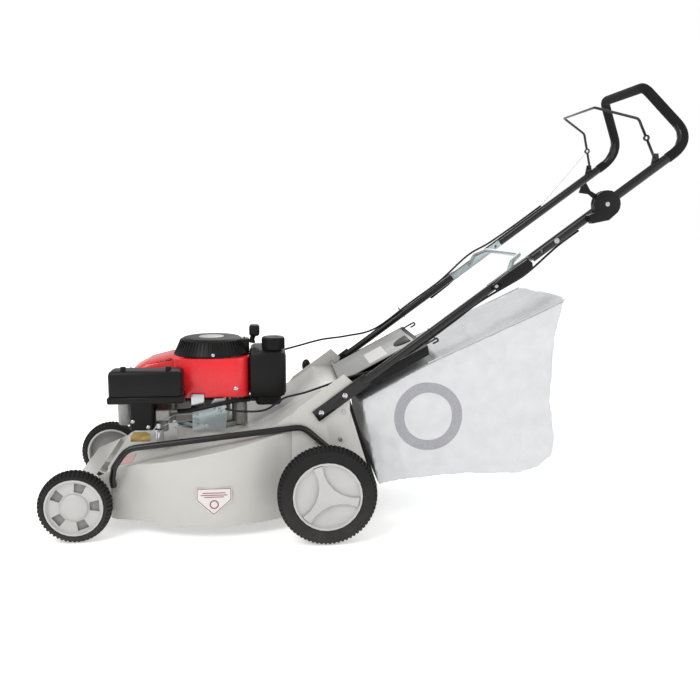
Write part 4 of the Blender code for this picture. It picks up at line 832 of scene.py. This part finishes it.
class MOWER_OT_engine_fittings(bpy.types.Operator):
    """Screws, coil cover, float bowl, bracket, linkage and ignition lead on the engine"""
    bl_idname = "mower.engine_fittings"
    bl_label = "Engine fittings"

    def execute(self, context):
        near = (0, -1, 0)
        rivet = [domed_screw((-0.3052, -0.0915, 0.3167), near, 0.0054),
                 domed_screw((-0.3585, -0.0902, 0.4000), (0, -1, 0.35), 0.0042)]
        settle(merged(rivet), "shroud_rivet", tin_can(), "chassis")
        heads = []
        for x, z in ((-0.3767, 0.2265), (-0.3444, 0.2675)):
            heads += flanged_bolt((x, -0.1008, z), near, 0.0040, 0.0045)
        settle(merged(heads), "plate_bolts", zinc_plate(), "chassis")
        can = block((-0.4135, -0.0990, 0.2720), (-0.3810, -0.0920, 0.3070), 0.0022, 4)
        settle(can, "coil_cover", tin_can(), "chassis")
        bowl = turned([(0, 0.0), (0.0040, 0.0), (0.0085, 0.0012), (0.0100, 0.0040), (0.0100, 0.0260),
                       (0.0112, 0.0265), (0.0112, 0.0300), (0.0098, 0.0310), (0.0060, 0.0330),
                       (0.0055, 0.0440), (0, 0.0440)],
                      (-0.4862, -0.1320, 0.2010), (0, 0, 1), 36)
        settle(bowl, "float_bowl", tin_can(), "chassis")
        places = ((-0.5480, 0.2498), (-0.5120, 0.2353))
        screws = [domed_screw((x, -0.1300, z), near, 0.0046) for x, z in places]
        settle(merged(screws), "elbow_screws", tin_can(), "chassis")
        bracket = plate([(-0.556, -0.1205, 0.1985), (-0.510, -0.1205, 0.1985), (-0.510, -0.1205, 0.2165),
                         (-0.520, -0.1205, 0.2225), (-0.548, -0.1205, 0.2225), (-0.556, -0.1205, 0.2125)],
                        (0, 0.0015, 0), 0.0003)
        settle(bracket, "choke_bracket", brass_passivate(), "chassis")
        rods = [tube(filleted([(-0.470, -0.1218, 0.252), (-0.452, -0.1218, 0.262), (-0.405, -0.1100, 0.262),
                               (-0.398, -0.1030, 0.256)], (0.003, 0.006), 4), 0.0009, 3),
                tube(filleted([(-0.480, -0.1218, 0.236), (-0.460, -0.1218, 0.243), (-0.404, -0.1080, 0.247),
                               (-0.396, -0.1030, 0.244)], (0.003, 0.006), 4), 0.0009, 3),
                coil((-0.455, -0.1218, 0.2305), (-0.412, -0.1060, 0.2355), 0.0026, 0.0005, 13)]
        settle(merged(rods), "governor_linkage", zinc_plate(), "chassis", 60)
        lead = tube(eased([(-0.588, 0.036, 0.2618), (-0.604, 0.037, 0.268), (-0.600, 0.040, 0.300),
                           (-0.585, 0.046, 0.330), (-0.574, 0.050, 0.350)], 8), 0.0034, 4)
        boot = turned([(0, 0), (0.0075, 0), (0.0082, 0.004), (0.0070, 0.020), (0.0045, 0.024), (0, 0.024)],
                      (-0.5810, 0.036, 0.2618), (-1, 0, 0.12), 24)
        settle(merged([lead, boot]), "ignition_lead", hose_rubber(), "chassis", 45)
        return {"FINISHED"}


# ---- handle --------------------------------------------------------------
def loop_corners():
    """The corners of the handle's loop, from the left foot to the right."""
    foot, knee = on_handle(CLAMP.x + 0.1085 * ALONG.x, TUBE_Y), on_handle(0.75745, TUBE_Y)
    shoulder = Vector((0.75745 - 0.083, 0.119, 1.0355))
    half = [foot, knee, shoulder]
    return [Vector((p.x, -p.y, p.z)) for p in half] + list(reversed(half))


class MOWER_OT_handle(bpy.types.Operator):
    """Handle tubes, foam sleeve, yoke, clamp bolts and cam levers"""
    bl_idname = "mower.handle"
    bl_label = "Handle"

    def execute(self, context):
        radii = (0.060, 0.035, 0.035, 0.060)
        line = filleted(loop_corners(), radii, 14)
        refined("upper_handle", black_enamel(), 0.0005, 50)
        start, stop = on_handle(0.700, -TUBE_Y), on_handle(0.700, TUBE_Y)
        sleeve = [start] + [p for p in line if p.x > 0.664 and p.z > start.z + 0.002] + [stop]
        soft = tube(sleeve, sizes().grip_foam, 7)
        settle(soft, "foam_grip", foam(), "upper_handle", 50)
        for side in ("left", "right"):
            refined("lower_handle_" + side, black_enamel(), 0.0004, 50)
            refined("clamp_bolt_" + side, zinc_plate(), 0.0004)
            refined("cam_lever_" + side, black_pp(), 0.0010, 40, 3)
        refined("handle_brace", zinc_plate(), 0.0005, 45)
        refined("stop_bail", black_enamel(), 0, 60)
        rings = []
        for sign in (-1, 1):
            where = tuple(on_handle(0.440, sign * (TUBE_Y + 0.0108)))
            rings += flanged_bolt(where, (0, sign, 0), 0.0042, 0.0042)
        settle(merged(rings), "handle_bolts", zinc_plate(), "upper_handle")
        return {"FINISHED"}


BAIL_EYE = Vector((0.6570, 0.1830, 0.9110))


class MOWER_OT_brake_wire(bpy.types.Operator):
    """The bare brake wire from the cable's end to the bail's eyelet"""
    bl_idname = "mower.brake_wire"
    bl_label = "Brake wire"

    def execute(self, context):
        start, end = on_handle(0.545, TUBE_Y - 0.005, 0.0144), BAIL_EYE - Vector((0, 0.0005, 0))
        line = [start.lerp(end, i / 24) for i in range(25)]
        wire = tube(line, 0.0007, 2)
        settle(wire, "brake_inner_wire", machined_steel(), None, 60)
        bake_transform(wire)
        rings = []
        for sign in (-1, 1):
            rings.append(turned([(0.0040, -0.0012), (0.0058, -0.0010), (0.0058, 0.0010), (0.0040, 0.0012),
                                 (0.0036, 0), (0.0040, -0.0012)], (BAIL_EYE.x, sign * BAIL_EYE.y, BAIL_EYE.z),
                                (0.0, sign, 0.12), 28))
        settle(merged(rings), "bail_eyelets", tin_can(), "stop_bail")
        return {"FINISHED"}


class MOWER_OT_throttle(bpy.types.Operator):
    """Throttle disc, its paddle lever and the rivet through them"""
    bl_idname = "mower.throttle"
    bl_label = "Throttle"

    def execute(self, context):
        refined("throttle_housing", black_pp(), 0.0010, 40, 3)
        refined("throttle_lever", black_pp(), 0.0010, 40, 3)
        low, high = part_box("throttle_housing")
        rivet = domed_screw((0.548, low[1] - 0.0002, 0.758), (0, -1, 0), 0.0052)
        settle(rivet, "throttle_rivet", zinc_plate(), "upper_handle")
        return {"FINISHED"}


CABLE_R = 0.0026


def run_cable(name, lower, upper, stands_for):
    """A sheathed cable through its knots, which bends between the last lower and the first upper one."""
    line = eased(lower + upper, 5)
    sheath = tube(line, CABLE_R, 4)
    settle(sheath, name, hose_rubber(), None, 60, stands_for)
    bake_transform(sheath)


class MOWER_OT_cables(bpy.types.Operator):
    """Throttle and brake cables, clipped along the handle"""
    bl_idname = "mower.cables"
    bl_label = "Cables"

    def execute(self, context):
        inside = TUBE_Y - 0.005
        under, over, step = -0.0129, 0.0129, 0.0015
        past = TUBE_Y - 0.0095 - CABLE_R - 0.0025
        lower = [engine(0.037, -0.104, 0.051), engine(0.077, -0.112, 0.0465), engine(0.132, -0.116, 0.0500),
                 engine(0.177, -0.120, 0.0788), engine(0.227, -0.142, 0.0962), engine(0.280, -0.173, 0.1205),
                 engine(0.330, -0.188, 0.1410), on_handle(0.030, -0.1865, -0.002),
                 on_handle(0.075, -0.190, -0.010), on_handle(0.110, -inside, under),
                 on_handle(0.200, -inside, under), on_handle(0.262, -inside + 0.004, under)]
        upper = [on_handle(0.345, -past, under - 0.012), on_handle(0.372, -past, under - 0.012),
                 on_handle(0.392, -past, under - 0.010), on_handle(0.440, -inside, under - step),
                 on_handle(0.488, -inside, under - step)]
        run_cable("throttle_cable", lower, upper, ("throttle_cable_lower", "throttle_cable_upper"))
        lower = [engine(0.037, 0.0951, 0.135), engine(0.077, 0.0961, 0.140), engine(0.137, 0.112, 0.151),
                 engine(0.217, 0.147, 0.166), engine(0.287, 0.172, 0.180),
                 engine(0.357, inside - 0.006, 0.186), on_handle(0.080, inside, over),
                 on_handle(0.180, inside, over), on_handle(0.262, inside, over)]
        upper = [on_handle(0.345, inside - 0.004, over + 0.012), on_handle(0.400, inside, over + 0.004),
                 on_handle(0.470, inside, over + step), on_handle(0.545, inside, over + step)]
        run_cable("brake_cable", lower, upper, ("brake_cable_lower", "brake_cable_upper"))
        clips = []
        for sign in (-1, 1):
            centre = on_handle(0.150, sign * (TUBE_Y - 0.0025), sign * 0.0055)
            ring = []
            for i in range(28):
                a = math.tau * i / 28
                ring.append(centre + Vector((0, 1, 0)) * math.cos(a) * 0.0136 + ACROSS * math.sin(a) * 0.0165)
            clips.append(tube(ring, 0.0008, 2, closed=True))
        settle(merged(clips), "cable_ties", hose_rubber(), "chassis", 60)
        return {"FINISHED"}


# ---- flap and bag --------------------------------------------------------
class MOWER_OT_flap(bpy.types.Operator):
    """Rear flap with its finger tab and a plain label"""
    bl_idname = "mower.flap"
    bl_label = "Rear flap"

    def execute(self, context):
        refined("rear_flap", flap_enamel(), 0.0004, 45)
        rim = [on_flap(0.1980, 0.0042, -0.094), on_flap(0.1980, 0.0042, -0.006)]
        turns = [math.pi * i / 14 for i in range(1, 14)]
        bow = [on_flap(0.1980 - 0.040 * math.sin(a), 0.0042, -0.050 + 0.044 * math.cos(a)) for a in turns]
        tab = plate(rim + bow, LIFT * 0.0026, 0.0008)
        settle(tab, "flap_finger_tab", black_pp(), "rear_flap", 40)
        corners = ((0.082, -0.100), (0.082, 0.030), (0.132, 0.030), (0.132, -0.100))
        label = plate([on_flap(along, 0.0042, y) for along, y in corners], LIFT * 0.0003)
        settle(label, "flap_label", print_white(), "rear_flap", 40)
        return {"FINISHED"}


def mouth_line(z):
    """How far back the bag's leaning mouth is at a height."""
    return -0.050 + 0.308 * (0.322 - z)


BAG_HALF = 0.186
# the side view as (x, z), from the mouth's foot round the back to its top
BAG_SIDE = ((mouth_line(0.096) + 0.012, 0.094), (0.110, 0.106), (0.250, 0.1145), (0.376, 0.111),
            (0.425, 0.124), (0.461, 0.153), (0.466, 0.200), (0.451, 0.297), (0.457, 0.440), (0.476, 0.536),
            (0.404, 0.502), (0.245, 0.431), (0.150, 0.389), (-0.012, 0.3035))


def bag_ring(spacing):
    """The side view of the bag as evenly spaced points."""
    loop = [Vector((x, 0, z)) for x, z in BAG_SIDE]
    points = []
    for a, b in zip(loop, loop[1:] + loop[:1]):
        count = max(1, round((b - a).length / spacing))
        points += [a.lerp(b, i / count) for i in range(count)]
    return points


# how far from a seam the cloth reaches its full swell and its full folds, and how far it may stand proud
SWELL_REACH, FOLD_REACH, PROUDEST = 0.055, 0.03, 0.0090
# the cloth lies flat this far behind the mouth, and under the frame's lid up to LID_BACK
MOUTH_BAND, LID_BACK = 0.022, 0.17


def make_bag():
    """A closed shell of cloth that swells between its seams and puckers beside them."""
    ring = bag_ring(0.010)
    obj = outline(ring)
    bpy.ops.mesh.edge_face_add()
    bpy.ops.mesh.extrude_region_move(TRANSFORM_OT_translate={"value": (0, 2 * BAG_HALF, 0)})
    bpy.ops.mesh.select_all(action="SELECT")
    bpy.ops.transform.translate(value=(0, -BAG_HALF, 0))
    bpy.ops.object.mode_set(mode="OBJECT")
    tidy_normals(obj)
    modify(obj, "REMESH", mode="VOXEL", voxel_size=0.006, adaptivity=0.0)
    take(obj)
    segments = [(Vector((ax, 0, az)), Vector((bx, 0, bz)))
                for (ax, az), (bx, bz) in zip(BAG_SIDE, BAG_SIDE[1:] + BAG_SIDE[:1])]

    def to_outline(p):
        """How far a point is from the nearest edge of the side view."""
        best = 9.0
        for a, b in segments:
            ab = b - a
            t = max(0.0, min(1.0, (p - a).dot(ab) / ab.length_squared))
            best = min(best, (p - a - ab * t).length)
        return best
    belly = sizes().bag_belly
    mesh = obj.data
    moves = []
    for vertex, shade in zip(mesh.vertices, mesh.vertex_normals):
        p, n = vertex.co, shade.vector
        flat = Vector((p.x, 0, p.z))
        edge_y = BAG_HALF - abs(p.y)
        edge_in = to_outline(flat)
        near = edge_in if edge_y < 0.004 else edge_y
        front = p.x < mouth_line(p.z) + MOUTH_BAND
        swell = belly * (1 - math.exp(-near / SWELL_REACH)) - 0.0025
        pucker = 0.0016 * math.exp(-near / 0.035) * noise.noise(p * 62.0)
        crease = 0.0080 * noise.noise(Vector((p.x * 9.0, p.y * 7.0, p.z * 13.0)) + Vector((3.1, 0, 0)))
        slack = 0.0034 * noise.noise(Vector((p.x * 24.0, p.y * 24.0, p.z * 28.0)))
        sloping = Vector((p.x * 5.0 - p.z * 3.0, p.y * 4.0, p.z * 4.0 + p.x * 7.0))
        pull = noise.noise(sloping + Vector((0, 9.2, 0)))
        slack += 0.0060 * (1 - min(1.0, abs(pull) * 7.0)) ** 2
        fade = min(1.0, near / FOLD_REACH)
        move = -0.001 if front else min(swell + pucker + (crease + slack) * fade, PROUDEST)
        if abs(n.y) < 0.5 and p.x < LID_BACK and n.z > 0.3:
            move = -0.003
        moves.append(n * move)
    for vertex, move in zip(mesh.vertices, moves):
        vertex.co += move
    modify(obj, "SMOOTH", factor=0.5, iterations=2)
    return obj


class MOWER_OT_bag(bpy.types.Operator):
    """Grass bag of stitched cloth on its moulded frame"""
    bl_idname = "mower.bag"
    bl_label = "Grass bag"

    def execute(self, context):
        cloth = make_bag()
        settle(cloth, "bag_cloth", bag_cloth(), "grass_bag", 180, ("grass_bag",))
        tapes = []
        for sign in (-1, 1):
            corners = [Vector((x, sign * (BAG_HALF - 0.0035), z)) for x, z in BAG_SIDE[9:13]]
            line = filleted(corners, [0.022] * (len(corners) - 2), 6)
            tapes.append(tube(line, sizes().seam_tape, 3))
        settle(merged(tapes), "bag_seam_tape", binding_tape(), "grass_bag", 60)
        refined("bag_frame", black_pp(), 0.0012, 40, 3)
        hooks = []
        for sign in (-1, 1):
            bend = [(0.1400, sign * 0.158, 0.4150), (0.1450, sign * 0.159, 0.4285),
                    (0.1746, sign * 0.160, 0.4447), (0.1785, sign * 0.160, 0.4380),
                    (0.1650, sign * 0.158, 0.4310)]
            hooks.append(tube(filleted(bend, (0.003, 0.003, 0.003), 5), 0.0022, 4))
        settle(merged(hooks), "bag_wire_hooks", black_enamel(), "grass_bag", 60)
        return {"FINISHED"}


# ---- stage ---------------------------------------------------------------
LIT_POINT = Vector((-0.05, 0, 0.35))
# each lamp's name, place, width in metres and power in watts
LAMPS = (("key", (-2.2, -2.6, 3.2), 1.8, 78), ("fill", (2.6, -2.4, 1.8), 2.5, 22),
         ("back", (0.6, 2.8, 2.6), 2.5, 38))


class MOWER_OT_stage(bpy.types.Operator):
    """Pale floor, soft studio lights and the camera"""
    bl_idname = "mower.stage"
    bl_label = "Stage"

    def execute(self, context):
        clear()
        bpy.ops.mesh.primitive_plane_add(size=60, location=(0, 0, -0.0005))
        floor = place(bpy.context.object)
        floor.name = "floor"
        paper = bpy.data.materials.new("matt white paper")
        paper.use_nodes = True
        shader = paper.node_tree.nodes["Principled BSDF"]
        shader.inputs["Base Color"].default_value = linear("#f6f6f5")
        shader.inputs["Roughness"].default_value = 0.9
        shader.inputs["Specular IOR Level"].default_value = 0.0
        shader.inputs["Emission Color"].default_value = (1, 1, 1, 1)
        shader.inputs["Emission Strength"].default_value = 0.42
        floor.data.materials.append(paper)
        world = bpy.data.worlds.new("studio")
        context.scene.world = world
        world.use_nodes = True
        backdrop = world.node_tree.nodes["Background"]
        backdrop.inputs["Color"].default_value = (1, 1, 1, 1)
        seen = put(world.node_tree, "ShaderNodeLightPath").outputs["Is Camera Ray"]
        # the world is white to the camera and gives the mower two thirds of that light
        glow = put(world.node_tree, "ShaderNodeMapRange", {"Value": seen, "To Min": 0.66, "To Max": 1.0})
        world.node_tree.links.new(glow.outputs["Result"], backdrop.inputs["Strength"])
        for name, where, size, power in LAMPS:
            bpy.ops.object.light_add(type="AREA", location=where)
            lamp = context.object
            lamp.name = lamp.data.name = name + "_light"
            lamp.data.size, lamp.data.energy = size, power
            aim = LIT_POINT - Vector(where)
            lamp.rotation_euler = aim.to_track_quat("-Z", "Y").to_euler()
        bpy.ops.object.camera_add(location=(-0.2239, -2.1014, 0.7152),
                                  rotation=(math.radians(81.364), 0, math.radians(-5.600)))
        camera = context.object
        camera.data.lens, camera.data.sensor_width = 42.95, 36.0
        camera.data.clip_end = 200
        context.scene.camera = camera
        context.scene.view_settings.view_transform = "Standard"
        return {"FINISHED"}


PIECES = (MOWER_OT_stage, MOWER_OT_wheels, MOWER_OT_running_gear, MOWER_OT_deck, MOWER_OT_engine,
          MOWER_OT_fuel_cap, MOWER_OT_engine_fittings, MOWER_OT_handle, MOWER_OT_brake_wire,
          MOWER_OT_throttle, MOWER_OT_cables, MOWER_OT_flap, MOWER_OT_bag)


class MOWER_PT_panel(bpy.types.Panel):
    """Sizes, colours and pieces of the mower"""
    bl_idname = "MOWER_PT_panel"
    bl_label = "Push Lawn Mower"
    bl_space_type = "VIEW_3D"
    bl_region_type = "UI"
    bl_category = "Mower"

    def draw(self, context):
        for group in (context.scene.mower_sizes, context.scene.mower_colours):
            box = self.layout.box()
            for key in group.__annotations__:
                box.prop(group, key)
        column = self.layout.column()
        for piece in PIECES:
            column.operator(piece.bl_idname)


CLASSES = (MowerSizes, MowerColours) + PIECES + (MOWER_PT_panel,)


def register():
    for cls in CLASSES:
        bpy.utils.register_class(cls)
    bpy.types.Scene.mower_sizes = bpy.props.PointerProperty(type=MowerSizes)
    bpy.types.Scene.mower_colours = bpy.props.PointerProperty(type=MowerColours)


def unregister():
    del bpy.types.Scene.mower_colours
    del bpy.types.Scene.mower_sizes
    for cls in reversed(CLASSES):
        bpy.utils.unregister_class(cls)


def main():
    """Makes every piece."""
    register()
    for piece in PIECES:
        getattr(bpy.ops.mower, piece.bl_idname.split(".")[1])()


if __name__ == "__main__":
    main()
